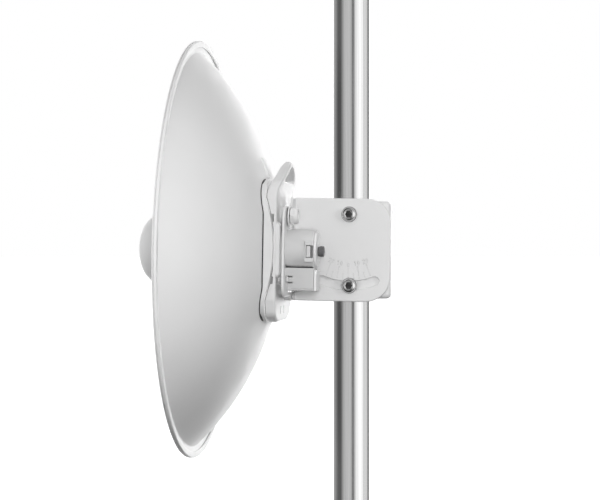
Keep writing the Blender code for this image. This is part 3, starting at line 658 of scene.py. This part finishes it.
def ease(value, low, high):
    """Share from 0 at the low value to 1 at the high one, with soft ends."""
    share = min(1.0, max(0.0, (value - low) / (high - low)))
    return share * share * (3 - 2 * share)


def clamp_nut(name, end, place, node):
    nut = facing(hex_body(NUT_ACROSS, NUT_SEAT, end, NUT_HOLE), "Y")
    piece(name, nut, place, ZINC, [node], 25)


def make_clamp():
    """Tray and jaw, whose end walls have V notches for the mast, with their bolts."""
    tray_face, tray_back = -0.0327, -0.0057
    jaw_face = 0.032
    notch, least_rim = 0.02736, 0.0055
    bolts = [(x, z) for z in (0.014, -0.014) for x in (-0.03, 0.03)]
    bolt_holes = [circle(place, BOLT_HOLE, 32) for place in bolts]

    def tray_rim(x, z):
        if x < -0.0255:
            return tray_face + CLAMP_SHEET
        level = min(tray_back, abs(x) - notch) if abs(z) > 0.03 else tray_back
        return max(tray_face + least_rim, level)

    def jaw_bent(x, z):
        return ease(abs(z), 0.0195, 0.0232) * (1 - ease(abs(x), 0.0355, 0.0385))

    outline = rounded([(0.043, -0.0494, 0.005), (0.043, 0.0494, 0.005), (-0.026, 0.0494, 0.005),
                       (-0.04, 0.022, 0.006), (-0.04, -0.022, 0.006), (-0.026, -0.0494, 0.005)], 8, True)
    holes = [circle((PIVOT_X, rise), BOLT_HOLE, 32) for rise in (PIVOT_RISE, -PIVOT_RISE)]
    tray = pan(dense(outline, 0.0015), holes + bolt_holes, tray_face, 0.005, tray_rim,
               lambda x, z: ease(x, -0.031, -0.0245))
    piece("pole_tray", tray, CLAMP, PLATE_COAT, ["pole_bracket"])

    outline = rectangle(-0.039, 0.039, -0.024, 0.024, 0.003, 5)
    jaw = pan(dense(outline, 0.0015), bolt_holes, -jaw_face, 0.0045,
              lambda x, z: -max(least_rim, notch - abs(x)), jaw_bent)
    for vert in jaw.verts:
        vert.co.y = -vert.co.y
    piece("jaw", jaw, CLAMP, PLATE_COAT, ["clamp_jaw"])

    for number, (x, z) in enumerate(bolts, 1):
        place = spot(CLAMP, x, 0, z)
        head = hex_body(0.0126, 0.0323, 0.0376, 0.0, (0, 1))
        shank = lathe([(0.0, 0.033)] + thread(BOLT_RADIUS, 0.0325, -0.0315), 32, "Z")
        bolt = facing(join(head, shank), "Y")
        piece(f"long_bolt_{number}", bolt, place, ZINC, [f"clamp_bolt_{number}"], 25)
        clamp_nut(f"long_nut_{number}", -0.0229, place, f"clamp_nut_{number}")


def socket_bolt(name, rise):
    """Socket head bolt with washer, and its nut in the tray."""
    place = spot(CLAMP, PIVOT_X, 0, rise)
    top, sides, socket = -0.0433, 72, 0.0064
    face = top + 0.0055
    outer = rounded([(0.0039, top), (0.0054, top + 0.0004, 0.003), (0.0067, top + 0.0017, 0.003),
                     (0.0072, top + 0.0034, 0.003), (0.0072, face, 0.0004), (BOLT_RADIUS, face)], 5)
    bm = bmesh.new()
    rings = turned(bm, outer + thread(BOLT_RADIUS, face + 0.0012, -0.0244), sides)
    for level in (top + EDGE, top + 0.005):
        ring = []
        for angle in [tau * index / sides for index in range(sides)]:
            reach = hex_point(socket, angle)
            ring.append(bm.verts.new((reach * cos(angle), reach * sin(angle), level)))
        rings.insert(0, ring)
    rings.insert(0, [bm.verts.new((0.0, 0.0, top + 0.0056))] * sides)
    skin_all(bm, rings)
    piece(f"{name}_socket_bolt", facing(bm, "Y"), place, CHROME, [f"{name}_bolt"], 30)
    washer = rectangle(NUT_HOLE, 0.008, -0.0375, -0.0363, EDGE, 3)
    piece(f"{name}_flat_washer", lathe(washer, 72, "Y"), place, CHROME, [f"{name}_washer"])
    clamp_nut(f"{name}_hex_nut", -0.0244, place, f"{name}_nut")


# Tilt bracket, drawn as a flat sheet with the side plate on the left, then folded

PIVOT = (PIVOT_X, PIVOT_RISE)
PLATE_SHEET, FLANGE_FRONT = 0.003, -0.0555
PLATE_FAR = 0.024 + PLATE_SHEET
BEND_RADIUS, BEND_LENGTH = 0.004, 0.0045
BEND_X, BEND_Y = FLANGE_FRONT + BEND_RADIUS, PLATE_FAR - BEND_RADIUS
TILT_LIMIT = 20


def stroke(points, width):
    """Closed outline round an open line."""
    half = width / 2
    sides = ([], [])
    for index, point in enumerate(points):
        here = Vector(point)
        before = Vector(points[max(index - 1, 0)])
        after = Vector(points[min(index + 1, len(points) - 1)])
        into = (here - before).normalized() if index else (after - here).normalized()
        out = (after - here).normalized() if index < len(points) - 1 else into
        normal = Vector((-into.y - out.y, into.x + out.x)).normalized()
        reach = max(0.6, normal.dot(Vector((-into.y, into.x))))
        sides[0].append(tuple(here + normal * half / reach))
        sides[1].append(tuple(here - normal * half / reach))
    return sides[0] + sides[1][::-1]


def digit(symbol, height, width):
    """Outlines of a plain digit about its centre: a line of even width, or a ring."""
    tall, wide = height / 2, height * 0.28
    if symbol == "0":
        return [[((wide - less) * a, (tall - less) * b) for a, b in circle((0, 0), 1.0, 24)]
                for less in (0.0, width)]
    if symbol == "1":
        return [stroke([(-wide * 0.7, tall * 0.55), (0.0, tall * 0.95), (0.0, -tall)], width)]
    hook = [(wide * 0.9 * a, tall * 0.45 + tall * 0.48 * b) for a, b in arc((0, 0), 1.0, 165, -30, 13)]
    return [stroke(hook + [(-wide * 0.85, -tall * 0.93), (wide, -tall * 0.93)], width)]


def on_plate(outline):
    return [(BEND_X - x, z) for x, z in outline]


def on_flange(outline):
    return [(BEND_LENGTH + BEND_Y - across, z) for across, z in outline]


def at_angle(radius, tilt):
    """Point at a distance from the pivot, its angle counted from straight below."""
    angle = radians(-90 + tilt)
    return (PIVOT[0] + radius * cos(angle), PIVOT[1] + radius * sin(angle))


def arc_slot():
    """Slot round the pivot that the lower bolt runs in."""
    reach, half = 0.072, 0.0045
    start, end = -90 - 21.8, -90 + 21.8
    tip = arc(PIVOT, reach, start, end, 1)
    return (arc(PIVOT, reach + half, start, end, 28) + arc(tip[1], half, end, end + 180, 12)[1:-1]
            + arc(PIVOT, reach - half, end, start, 28) + arc(tip[0], half, start - 180, start, 12)[1:-1])


def tilt_scale():
    """Grooves of the scale: ticks every 5 degrees, longer every 10, and numbers."""
    tick_end, tick_width = 0.0655, 0.0009
    number_height, line_width, spacing = 0.0044, 0.00075, 0.0033
    grooves = []
    for tilt in range(-TILT_LIMIT, TILT_LIMIT + 1, 5):
        first = 0.06 if tilt % 10 else (0.0548 if tilt == 0 else 0.0532)
        line = [at_angle(radius, tilt) for radius in (first, tick_end)]
        grooves.append([on_plate(stroke(line, tick_width))])
    for tilt in range(-TILT_LIMIT, TILT_LIMIT + 1, 10):
        text = str(abs(tilt))
        hub = Vector(at_angle(0.05 if tilt else 0.0512, tilt))
        turn = Matrix.Rotation(radians(tilt), 2)
        for index, symbol in enumerate(text):
            offset = (index - (len(text) - 1) / 2) * spacing
            grooves.append([on_plate([hub + turn @ Vector((a + offset, b)) for a, b in outline])
                            for outline in digit(symbol, number_height, line_width)])
    return grooves


def folded(bm):
    """Folds the flat sheet into side plate, bend and flange, whose sheet is a little thinner."""
    thinning = 0.22
    for vert in bm.verts:
        along, rise, level = vert.co
        share = min(1.0, max(0.0, along / BEND_LENGTH))
        depth = level * (1 - thinning * share)
        if along <= 0:
            vert.co = (BEND_X - along, PLATE_FAR - depth, rise)
        elif along < BEND_LENGTH:
            angle, radius = share * pi / 2, BEND_RADIUS - depth
            vert.co = (BEND_X - radius * sin(angle), BEND_Y + radius * cos(angle), rise)
        else:
            vert.co = (FLANGE_FRONT + depth, BEND_Y - (along - BEND_LENGTH), rise)
    return bm


def make_bracket():
    half_height, right, corner = 0.0522, 0.0439, 0.025
    tab = BEND_Y - 0.001
    edge = (on_flange([(tab, half_height)]) + on_plate([(right, half_height), (right, -half_height)])
            + on_flange([(tab, -half_height), (0.004, -half_height), (-0.0012, -0.047), (-0.0535, -0.047),
                         (-0.0535, 0.0425), (-0.0006, 0.0425), (0.004, half_height)]))
    edge = fillet(edge, [0, corner, corner, 0, 0.003, 0.004, 0.013, 0.015, 0.004, 0.003], 14)
    window = rounded([(-0.0475, -0.022, 0.01), (-0.0225, -0.0385, 0.004), (-0.0225, -0.0435, 0.003),
                      (0.0185, -0.0435, 0.004), (0.0205, -0.03, 0.006), (0.0205, 0.018, 0.006),
                      (0.012, 0.0245, 0.008), (-0.03, 0.0215, 0.006), (-0.0475, 0.01, 0.012)], 8, True)
    holes = [on_plate(circle(PIVOT, BOLT_HOLE, 32)), on_plate(arc_slot()), on_flange(window),
             on_flange(circle(STUD, 0.0036, 32))]
    holes += [on_flange(circle(place, 0.0024, 24)) for place in SCREWS.values()]
    bm = slab([edge] + holes, 0.0, PLATE_SHEET, (0.0006, 0.0014), 5, tilt_scale(), 0.0006, EDGE)
    bend_steps, margin = 12, 0.0006
    sliced(bm, [-margin] + [BEND_LENGTH * step / bend_steps for step in range(bend_steps + 1)]
           + [BEND_LENGTH + margin], (1, 0, 0))
    piece("side_bracket", folded(bm), ANTENNA, PLATE_COAT, ["tilt_bracket"], 30)


# Reflector and feed

CREASE, RIM = 0.197, 0.2085
DISH_SEAT, SEAT_REACH = -0.0735, 0.072
BOWL_TOP, BOWL_FOCUS, BOWL_FLARE = -0.0652, 0.1345, 0.132


def bowl(radius):
    """Level of the dish's back, a paraboloid that steepens towards its crease."""
    return BOWL_TOP - radius * radius / (4 * BOWL_FOCUS) * (1 + BOWL_FLARE * (radius / CREASE) ** 4)


def slope(radius):
    return radius / (2 * BOWL_FOCUS) * (1 + 3 * BOWL_FLARE * (radius / CREASE) ** 4)


def under_dish(gap):
    """Solid in front of the dish's back, up to a gap behind it."""
    front, reach, spacing = -0.11, 0.13, 0.004
    back = [(spacing * step, bowl(spacing * step)) for step in range(32, 22, -1)]
    back += [(SEAT_REACH, DISH_SEAT), (0.0, DISH_SEAT)]
    back = fillet([(radius, along + gap) for radius, along in back], [0] * 9 + [0.01, 0.006, 0], 6, False)
    return moved(lathe([(0.0, front), (reach, front)] + back, 96), 0, -DISH_DROP)


def make_reflector():
    sheet, start, steps = 0.0015, 0.092, 22
    back = [(0.0195, DISH_SEAT), (SEAT_REACH, DISH_SEAT)]
    back += [(radius, bowl(radius)) for radius in
             [start + (CREASE - start) * step / steps for step in range(steps + 1)]]
    front = []
    for radius, along in back:
        steep = slope(radius) if radius > SEAT_REACH else 0.0
        front.append((radius, along - sheet * sqrt(1 + steep * steep)))
    rim_back = back[-1][1]
    rim_front = rim_back - sheet
    front[-1] = (CREASE - sheet / 2, rim_front)
    lip = rim_front + 0.0013 + 2 * sheet
    hem_in, groove = RIM - 0.006, RIM - 0.001
    hem = [(RIM - sheet, rim_back), (RIM - sheet, lip - sheet), (hem_in, lip - sheet), (hem_in, lip),
           (RIM, lip), (RIM, rim_front + 0.002), (groove, rim_front + 0.0018),
           (groove, rim_front + 0.001), (RIM, rim_front + 0.0008), (RIM, rim_front)]
    hem_radii = [0.0006, 0.0005, 0.0003, 0.0004, 0.0016] + [0.0001] * 4 + [0.0006]
    plain = [0] * (len(back) - 4)
    radii = [0, 0.006, 0.01] + plain + [0.0022] + hem_radii + [0.0022] + plain + [0.01, 0.006, 0]
    profile = fillet(back + hem + front[::-1], radii, 6, False)
    pad = box((-0.086, -0.0245, 0.0679), (-0.0725, 0.0245, 0.09), 0.0009, 4)
    pad_foot, pad_lean = 0.0699, 0.36
    for vert in pad.verts:
        vert.co.x -= pad_lean * (vert.co.z - pad_foot)
    pad = moved(carve(pad, [under_dish(-0.0006)]), 0, DISH_DROP)
    dish = join(lathe(profile, 240), pad)
    piece("dish", dish, DISH, DISH_COAT, ["reflector"], 35, False).visible_glossy = False


def make_feed():
    collar = rounded([(0.0193, -0.0753, 0.0002), (0.03, -0.0753, EDGE), (0.0292, -0.079, 0.0015),
                      (0.027, -0.0813, 0.0012), (0.0193, -0.0813, 0.0004)], 4, True)
    piece("collar", lathe(collar), DISH, FEED, ["feed_collar"])
    tube = turned_solid([(0.019, DISH_SEAT, EDGE), (0.019, -0.1), (0.0187, -0.1005, 0.0001),
                         (0.0187, -0.1015, 0.0001), (0.019, -0.102), (0.019, -0.168, 0.0004)], 3, 128)
    piece("tube", tube, DISH, FEED, ["feed_tube"])
    cup = turned_solid([(0.019, -0.1683, 0.0015), (0.0325, -0.1755, 0.002), (0.0362, -0.1772, 0.0012),
                        (0.0365, -0.18, EDGE)], 5)
    piece("cup", cup, DISH, FEED, ["feed_cup"])
    start, width, height, fullness = -0.1803, 0.0365, 0.0271, 2.35
    dome = [(radius, start - along) for radius, along in swelling(width, height, fullness, 26)[:-1]]
    dome = [(0.0, start)] + dome + [(0.0, start - height)]
    piece("dome", lathe(dome, 144), DISH, FEED, ["feed_dome"])


# Rear housing: a base, and a cover with a lower lobe and the carry loop above it

FACE = -0.061
LOBE, FOOT = 0.05, 0.066


def parting(rise):
    """Level of the seam between base and cover, at a height on the lobe."""
    return FACE - 0.0018 - 0.0082 * min(1.0, (rise / LOBE) ** 2)


def cover_rear(rise):
    """Level of the cover's rear face, which leans back along the loop."""
    if rise <= LOBE:
        return FACE
    share = min(1.0, (rise - LOBE) / (FOOT - LOBE))
    lean = min(0.26 * max(0.0, rise - FOOT), 0.0024 + 0.12 * max(0.0, rise - 0.0755), 0.0031)
    return FACE + 0.0043 * share * share + lean


def cover_front(rise):
    """Level of the cover's front: the seam on the lobe, then that of a band of even depth."""
    return parting(rise) if rise <= LOBE else cover_rear(rise) - 0.01


def make_base():
    bend, gap_shade_front, gap_shade_back = 0.0048, -0.0795, -0.0715
    outline = rectangle(-0.062, 0.062, -0.072, 0.069, 0.03, 12)
    bm = facing(slab([outline], -0.079, FACE, flat=0.0005), "X")
    sliced(bm, [-0.0625 + 0.00625 * step for step in range(21)])
    for vert in bm.verts:
        if vert.co.x > FACE - 0.002:
            vert.co.x = parting(vert.co.z) - EDGE - (FACE - vert.co.x)
        elif vert.co.x < -0.077:
            vert.co.x += bend * ease(abs(vert.co.z), 0.054, 0.068)
    # painted shade: a dark sheet in the thin gap between the base and the dish, standing in for the shadow
    # that falls there
    gap_shade = slab([inset(outline, 0.0005)], gap_shade_front, gap_shade_back, (EDGE, EDGE), 2, flat=0.0005)
    gap_shade = carve(facing(gap_shade, "X"), [under_dish(0.0001)])
    piece("housing_gap_shade", gap_shade, ANTENNA, CAP).visible_glossy = False
    base = carve(bm, [under_dish(0.0014)])
    piece("housing_plate", base, ANTENNA, HOUSING, ["housing_base"]).visible_glossy = False


def cover_outline():
    right = rounded([(-0.03, -0.072), (0.03, -0.072, 0.012), (0.05, -0.0665, 0.012), (0.055, -0.05, 0.012),
                     (0.055, 0.05, 0.014), (0.051, 0.06, 0.012), (0.047, FOOT)], 6)
    crown = rounded([(0.047, FOOT), (0.03, 0.0757, 0.02), (0.01, 0.0847, 0.012), (0, 0.08775, 0.012),
                     (-0.01, 0.0847)], 8)
    return mirrored([point for point in right if point[0] > 0][1:-1]
                    + [point for point in crown if point[0] > -TINY])


def make_cover():
    hole = fillet(mirrored([(0.033, 0.0665), (0.0185, 0.0755), (0.009, 0.08), (0.0, 0.0822)]),
                  [0.0015, 0.012, 0.012, 0.006, 0.012, 0.012, 0.0015], 6)
    far = FACE - 0.01
    bm = facing(slab([cover_outline(), hole], far, FACE, (0.0012, 0.0026), 5, flat=0.0005), "X")
    sliced(bm, [-0.0625 + 0.00625 * step for step in range(19)])
    sliced(bm, [0.053 + 0.003 * step for step in range(12)])
    for vert in bm.verts:
        if vert.co.x > FACE - 0.003:
            vert.co.x += cover_rear(vert.co.z) - FACE - 0.0012 * ease(vert.co.z, 0.083, 0.0885)
        else:
            vert.co.x += cover_front(vert.co.z) - far + 0.003 * ease(vert.co.z, 0.079, 0.089)
    cutters = []
    for side in (-1, 1):
        for rise in (0.03, -0.0305):
            place, across = parting(rise), side * 0.051
            cutters.append(box((place - 0.001, across - 0.009, rise - 0.0038),
                               (place + 0.0024, across + 0.009, rise + 0.0038), 0.0004, 2))
    for across in (-0.015, 0.005):
        cutters.append(box((FACE - 0.0011, across - 0.003, -0.0645),
                           (FACE + 0.002, across + 0.003, -0.0568), EDGE, 2))
    pad = slab([rectangle(-0.0535, 0.0535, -0.028, 0.026, 0.005, 8)], -0.062, -0.0575,
               (EDGE, 0.0034), 7, flat=0.0004)
    parts = [carve(bm, cutters), facing(pad, "X")]
    boss = [(0.0145, -0.0635), (0.0145, -0.0612, 0.0004), (0.0088, -0.06, 0.002), (0.0085, -0.0558, 0.0005),
            (0.003, -0.0558, 0.0002), (0.003, -0.046, 0.0004)]
    parts.append(moved(turned_solid(boss, 5, 72), *STUD))
    post = [(0.0042, -0.062), (0.0042, -0.0558, 0.0004), (0.0023, -0.0558, 0.0002), (0.0023, -0.0601, 0.0002)]
    parts += [moved(turned_solid(post, 3, 40), *place) for place in SCREWS.values()]
    piece("housing_cover", join(*parts), ANTENNA, HOUSING, ["rear_cover"]).visible_glossy = False


def make_fixings():
    stud = spot(ANTENNA, 0, *STUD)
    washer = moved(lathe(rectangle(0.0042, 0.0098, -0.0522, -0.0507, 0.0004, 3), 72), 0, -0.0008)
    lug = box((-0.0509, -0.0022, -0.0106), (-0.0484, 0.0022, -0.0084), 0.0006, 3)
    piece("stud_washer", join(washer, lug), stud, PLATE_COAT, ["fixing_washer"])
    nut = hex_body(0.0142, -0.0504, -0.0462, 0.0, (1, 0))
    dome = turned_solid([(0.0079, -0.0464, 0.0002), (0.0078, -0.0426, 0.0026), (0.004, -0.0424, 0.0004),
                         (0.0034, -0.044, EDGE)], 6, 72)
    piece("stud_nut", join(facing(nut, "X"), dome), stud, PLATE_COAT, ["fixing_nut"], 28)
    head = rounded([(0, -0.0598), (0.002, -0.0598, EDGE), (0.002, -0.0528, 0.0002),
                    (0.0034, -0.0528, EDGE), (0.0033, -0.052, 0.0004), (0.002, -0.0512, 0.0009),
                    (0, -0.051)], 4)
    long, short = 0.0016, 0.00035
    for label, place in SCREWS.items():
        cross = [box((-0.052, -a, -b), (-0.049, a, b), 0.0001, 1) for a, b in ((long, short), (short, long))]
        piece(f"screw_{label}", carve(lathe(head, 48), cross), spot(ANTENNA, 0, *place), PLATE_COAT,
              [f"fixing_screw_{label}"], 28)


def make_barrel():
    start, end, radius = -0.0607, -0.0285, 0.02
    body = turned_solid([(radius, start, 0.0004), (radius, end, 0.0026)], 6)
    frame_block = box((-0.0378, -0.0217, -0.0128), (-0.0289, -0.01, 0.0089), 0.0011, 4)
    pocket = box((-0.0362, -0.024, -0.0084), (-0.0292, -0.005, 0.0041), 0.0004, 2)
    body = carve(carve(body, [frame_block], "UNION"), [pocket])
    piece("barrel", body, ANTENNA, BARREL, ["rear_barrel"])
    tab = box((-0.0359, -0.0209, -0.0078), (-0.0318, -0.0163, 0.0035), 0.0007, 3)
    piece("latch", tab, ANTENNA, BARREL, ["latch_tab"])
    lid = turned_solid([(0.0176, -0.0286, 0.0002), (0.0172, -0.0267, 0.0012)], 6)
    piece("end_cap", lid, ANTENNA, PAINTED_BRIGHT_END, ["barrel_cap"])
    knob = rounded([(0, -0.0264), (0.0048, -0.0264, 0.0004), (0.0056, -0.0235, 0.003),
                    (0.0053, -0.0202, 0.0006), (0.003, -0.0214, 0.003), (0, -0.0221, 0.004)], 6)
    piece("knob", lathe(knob, 72), spot(ANTENNA, 0, 0, -0.002), KNOB, ["release_knob"])


def make_port():
    start, end = -0.0607, -0.0283
    saddle, saddle_low = 0.0203, -0.0185
    left, right, low = -0.019, 0.011, -0.0412
    side = degrees(asin(-saddle_low / saddle))
    outline = fillet([(left, low), (right, low), (right, saddle_low)]
                     + arc((0, 0), saddle, -side, -180 + side, 12) + [(left, saddle_low)],
                     [0.0012, 0.0012, 0.0005] + [0] * 13 + [0.0006], 4)
    cutters = [box((-0.0549, -0.0215, rise - 0.0008), (-0.0492, -0.012, rise + 0.0008), EDGE, 2)
               for rise in (-0.0272, -0.0331)]
    cutters.append(box((-0.05, -0.0205, -0.0396), (-0.027, -0.018, -0.0386), 0.0002, 1))
    body = carve(facing(slab([outline], start, end, (0.0002, 0.0006)), "X"), cutters)
    piece("port", body, ANTENNA, PORT, ["cable_port"])
    cover = box((-0.0281, -0.0192, low), (-0.0256, right, -0.0203), 0.0007, 4)
    notch = box((-0.027, -0.02, -0.024), (-0.025, -0.016, -0.0195), EDGE, 1)
    piece("port_cover", carve(cover, [notch]), ANTENNA, PAINTED_BRIGHT_END, ["port_end"])


# Stage

def aim(item, out, distance):
    """Puts a camera or lamp at a distance from the dish's centre, looking at it."""
    item.location = DISH_AXIS + out * distance
    item.rotation_mode = "QUATERNION"
    item.rotation_quaternion = (-out).to_track_quat("-Z", "Y")


def make_camera():
    data = bpy.data.cameras.new("camera")
    data.sensor_width = SENSOR_MM
    data.lens = FOCAL_PIXELS * SENSOR_MM / PHOTO_WIDTH
    data.clip_start = 0.01
    data.clip_end = 100.0
    camera = linked("camera", data)
    aim(camera, Vector((sin(VIEW_AZIMUTH), -cos(VIEW_AZIMUTH), 0.0)), VIEW_DISTANCE)
    bpy.context.scene.camera = camera


def make_floor():
    """Large pale floor for the camera only, so that it doesn't tint or darken the object."""
    size = 60.0
    bm = bmesh.new()
    skin(bm, [bm.verts.new((0, 0, 0))] * 96, ring_of(bm, circle((0, 0), size, 96), 0.0))
    floor = linked("floor", mesh_of("floor", bm))
    made = bpy.data.materials.new("pale_floor")
    made.use_nodes = True
    set_sockets(made.node_tree.nodes["Principled BSDF"], {
        "Base Color": (0.8, 0.8, 0.8, 1.0), "Roughness": 0.9, "Emission Color": (1.0, 1.0, 1.0, 1.0),
        "Emission Strength": 1.0})
    floor.data.materials.append(made)
    floor.visible_diffuse = False
    floor.visible_glossy = False
    floor.visible_shadow = False


# Brightness by direction round the object, in degrees to the right of the camera: what polished
# metal shows, and what lights the paint from the level of the object and from above
SKY = [(-180, 2.8), (-165, 2.2), (-145, 0.6), (-110, 0.3), (-95, 0.12), (-72, 0.12), (-62, 0.35), (-47, 0.7),
       (-21, 0.8), (-3, 0.75), (0, 0.45), (5, 0.2), (12, 0.22), (17, 0.8), (30, 1.35), (50, 1.65), (74, 1.4),
       (80, 0.9), (89, 1.05), (110, 1.00), (118, 0.4), (137, 0.25), (150, 1.8), (160, 2.8), (180, 2.8)]
LEVEL_LIGHT = [(-150, 0.8), (-125, 3.0), (-100, 3.0), (-67, 1.5), (-45, 2.1), (-22, 0.9), (0, 0.9),
               (22, 0.0), (45, 0.0), (67, 0.28), (90, 0.6), (112, 0.6), (135, 0.1), (157, 2.55), (180, 0.5)]
HIGH_LIGHT = [(-22, 0.0), (0, 0.2), (22, 0.93), (45, 0.85), (67, 0.0), (112, 0.0), (135, 0.3), (157, 0.16),
              (180, 0.0)]
TOP_LIGHT = 1.26
STUDIO_TOP = 3.0  # brightness that a ramp's white stands for
RAMP_DEGREES = 400  # what a ramp spans, more than the full turn

# Area lights near the object: degrees right of the camera, height in degrees, distance, size, watts
LAMPS = {"front": (8, 10, 1.1, 0.25, 1.7), "near": (2, 0, 0.7, 0.15, 1.2), "side": (52, 8, 0.8, 0.1, 1.1),
         "rear": (155, 0, 1.1, 0.25, 13.0)}


def make_lamps():
    for name, (side, rise, distance, size, watts) in LAMPS.items():
        data = bpy.data.lights.new(name, "AREA")
        data.shape = "SQUARE"
        data.size = size
        data.energy = watts
        lamp = linked(name, data)
        turn, tip = radians(side) + VIEW_AZIMUTH, radians(rise)
        out = Vector((sin(turn) * cos(tip), -cos(turn) * cos(tip), sin(tip)))
        aim(lamp, out, distance)
        lamp.visible_glossy = False
        lamp.visible_camera = False


def make_world():
    """Studio light by direction, with a plain white background for the camera."""
    world = bpy.data.worlds.new("studio")
    world.use_nodes = True
    tree = world.node_tree
    nodes, links = tree.nodes, tree.links

    def calc(operation, *values):
        node = nodes.new("ShaderNodeMath")
        node.operation = operation
        for socket, value in zip(node.inputs, values):
            if isinstance(value, (int, float)):
                socket.default_value = value
            else:
                links.new(value, socket)
        return node.outputs[0]

    def ramp_node(value, stops, interpolation="LINEAR"):
        node = nodes.new("ShaderNodeValToRGB")
        node.color_ramp.interpolation = interpolation
        set_ramp(node, [(place, grey(level)) for place, level in stops])
        links.new(value, node.inputs["Fac"])
        return node.outputs["Color"]

    def round_ramp(stops, interpolation="LINEAR"):
        stops = [((side + 180) / RAMP_DEGREES, level / STUDIO_TOP) for side, level in stops]
        return ramp_node(share, stops, interpolation)

    split = nodes.new("ShaderNodeSeparateXYZ")
    links.new(nodes.new("ShaderNodeTexCoord").outputs["Generated"], split.inputs[0])
    toward = calc("MULTIPLY", split.outputs["Y"], -1.0)
    angle = calc("SUBTRACT", calc("ARCTAN2", split.outputs["X"], toward), VIEW_AZIMUTH)
    share = calc("FRACT", calc("ADD", calc("DIVIDE", angle, tau), 0.5))
    share = calc("MULTIPLY", share, 360 / RAMP_DEGREES)
    up = calc("DIVIDE", calc("ARCSINE", split.outputs["Z"]), pi / 2)
    up = calc("ADD", calc("MULTIPLY", up, 0.5), 0.5)
    near_level = ramp_node(up, [(0.33, 0.0), (0.5, 1.0), (0.75, 0.0)])
    level = calc("MULTIPLY", round_ramp(LEVEL_LIGHT), near_level)
    above = ramp_node(up, [(0.5, 0.0), (0.75, 1.0), (1.0, 0.0)])
    high = calc("MULTIPLY", round_ramp(HIGH_LIGHT), above)
    top = ramp_node(up, [(0.75, 0.0), (1.0, TOP_LIGHT / STUDIO_TOP)])
    soft = nodes["Background"]
    links.new(calc("ADD", calc("ADD", level, high), top), soft.inputs["Color"])
    soft.inputs["Strength"].default_value = STUDIO_TOP
    mirror = nodes.new("ShaderNodeBackground")
    fade = ramp_node(up, [(0.1, 0.05), (0.3, 0.25), (0.42, 1.0), (0.58, 1.0), (0.72, 0.4)])
    links.new(calc("MULTIPLY", round_ramp(SKY, "EASE"), fade), mirror.inputs["Color"])
    mirror.inputs["Strength"].default_value = STUDIO_TOP
    plain = nodes.new("ShaderNodeBackground")
    plain.inputs["Color"].default_value = (1, 1, 1, 1)
    ray = nodes.new("ShaderNodeLightPath")
    last = soft
    for socket, other in (("Is Glossy Ray", mirror), ("Is Camera Ray", plain)):
        mix = nodes.new("ShaderNodeMixShader")
        links.new(ray.outputs[socket], mix.inputs[0])
        links.new(last.outputs[0], mix.inputs[1])
        links.new(other.outputs[0], mix.inputs[2])
        last = mix
    links.new(last.outputs[0], nodes["World Output"].inputs["Surface"])
    bpy.context.scene.world = world
    bpy.context.scene.view_settings.view_transform = "Standard"


make_camera()
make_floor()
make_world()
make_lamps()
make_mast()
make_clamp()
socket_bolt("pivot", PIVOT_RISE)
socket_bolt("slot", -PIVOT_RISE)
make_bracket()
make_reflector()
make_feed()
make_base()
make_cover()
make_fixings()
make_barrel()
make_port()
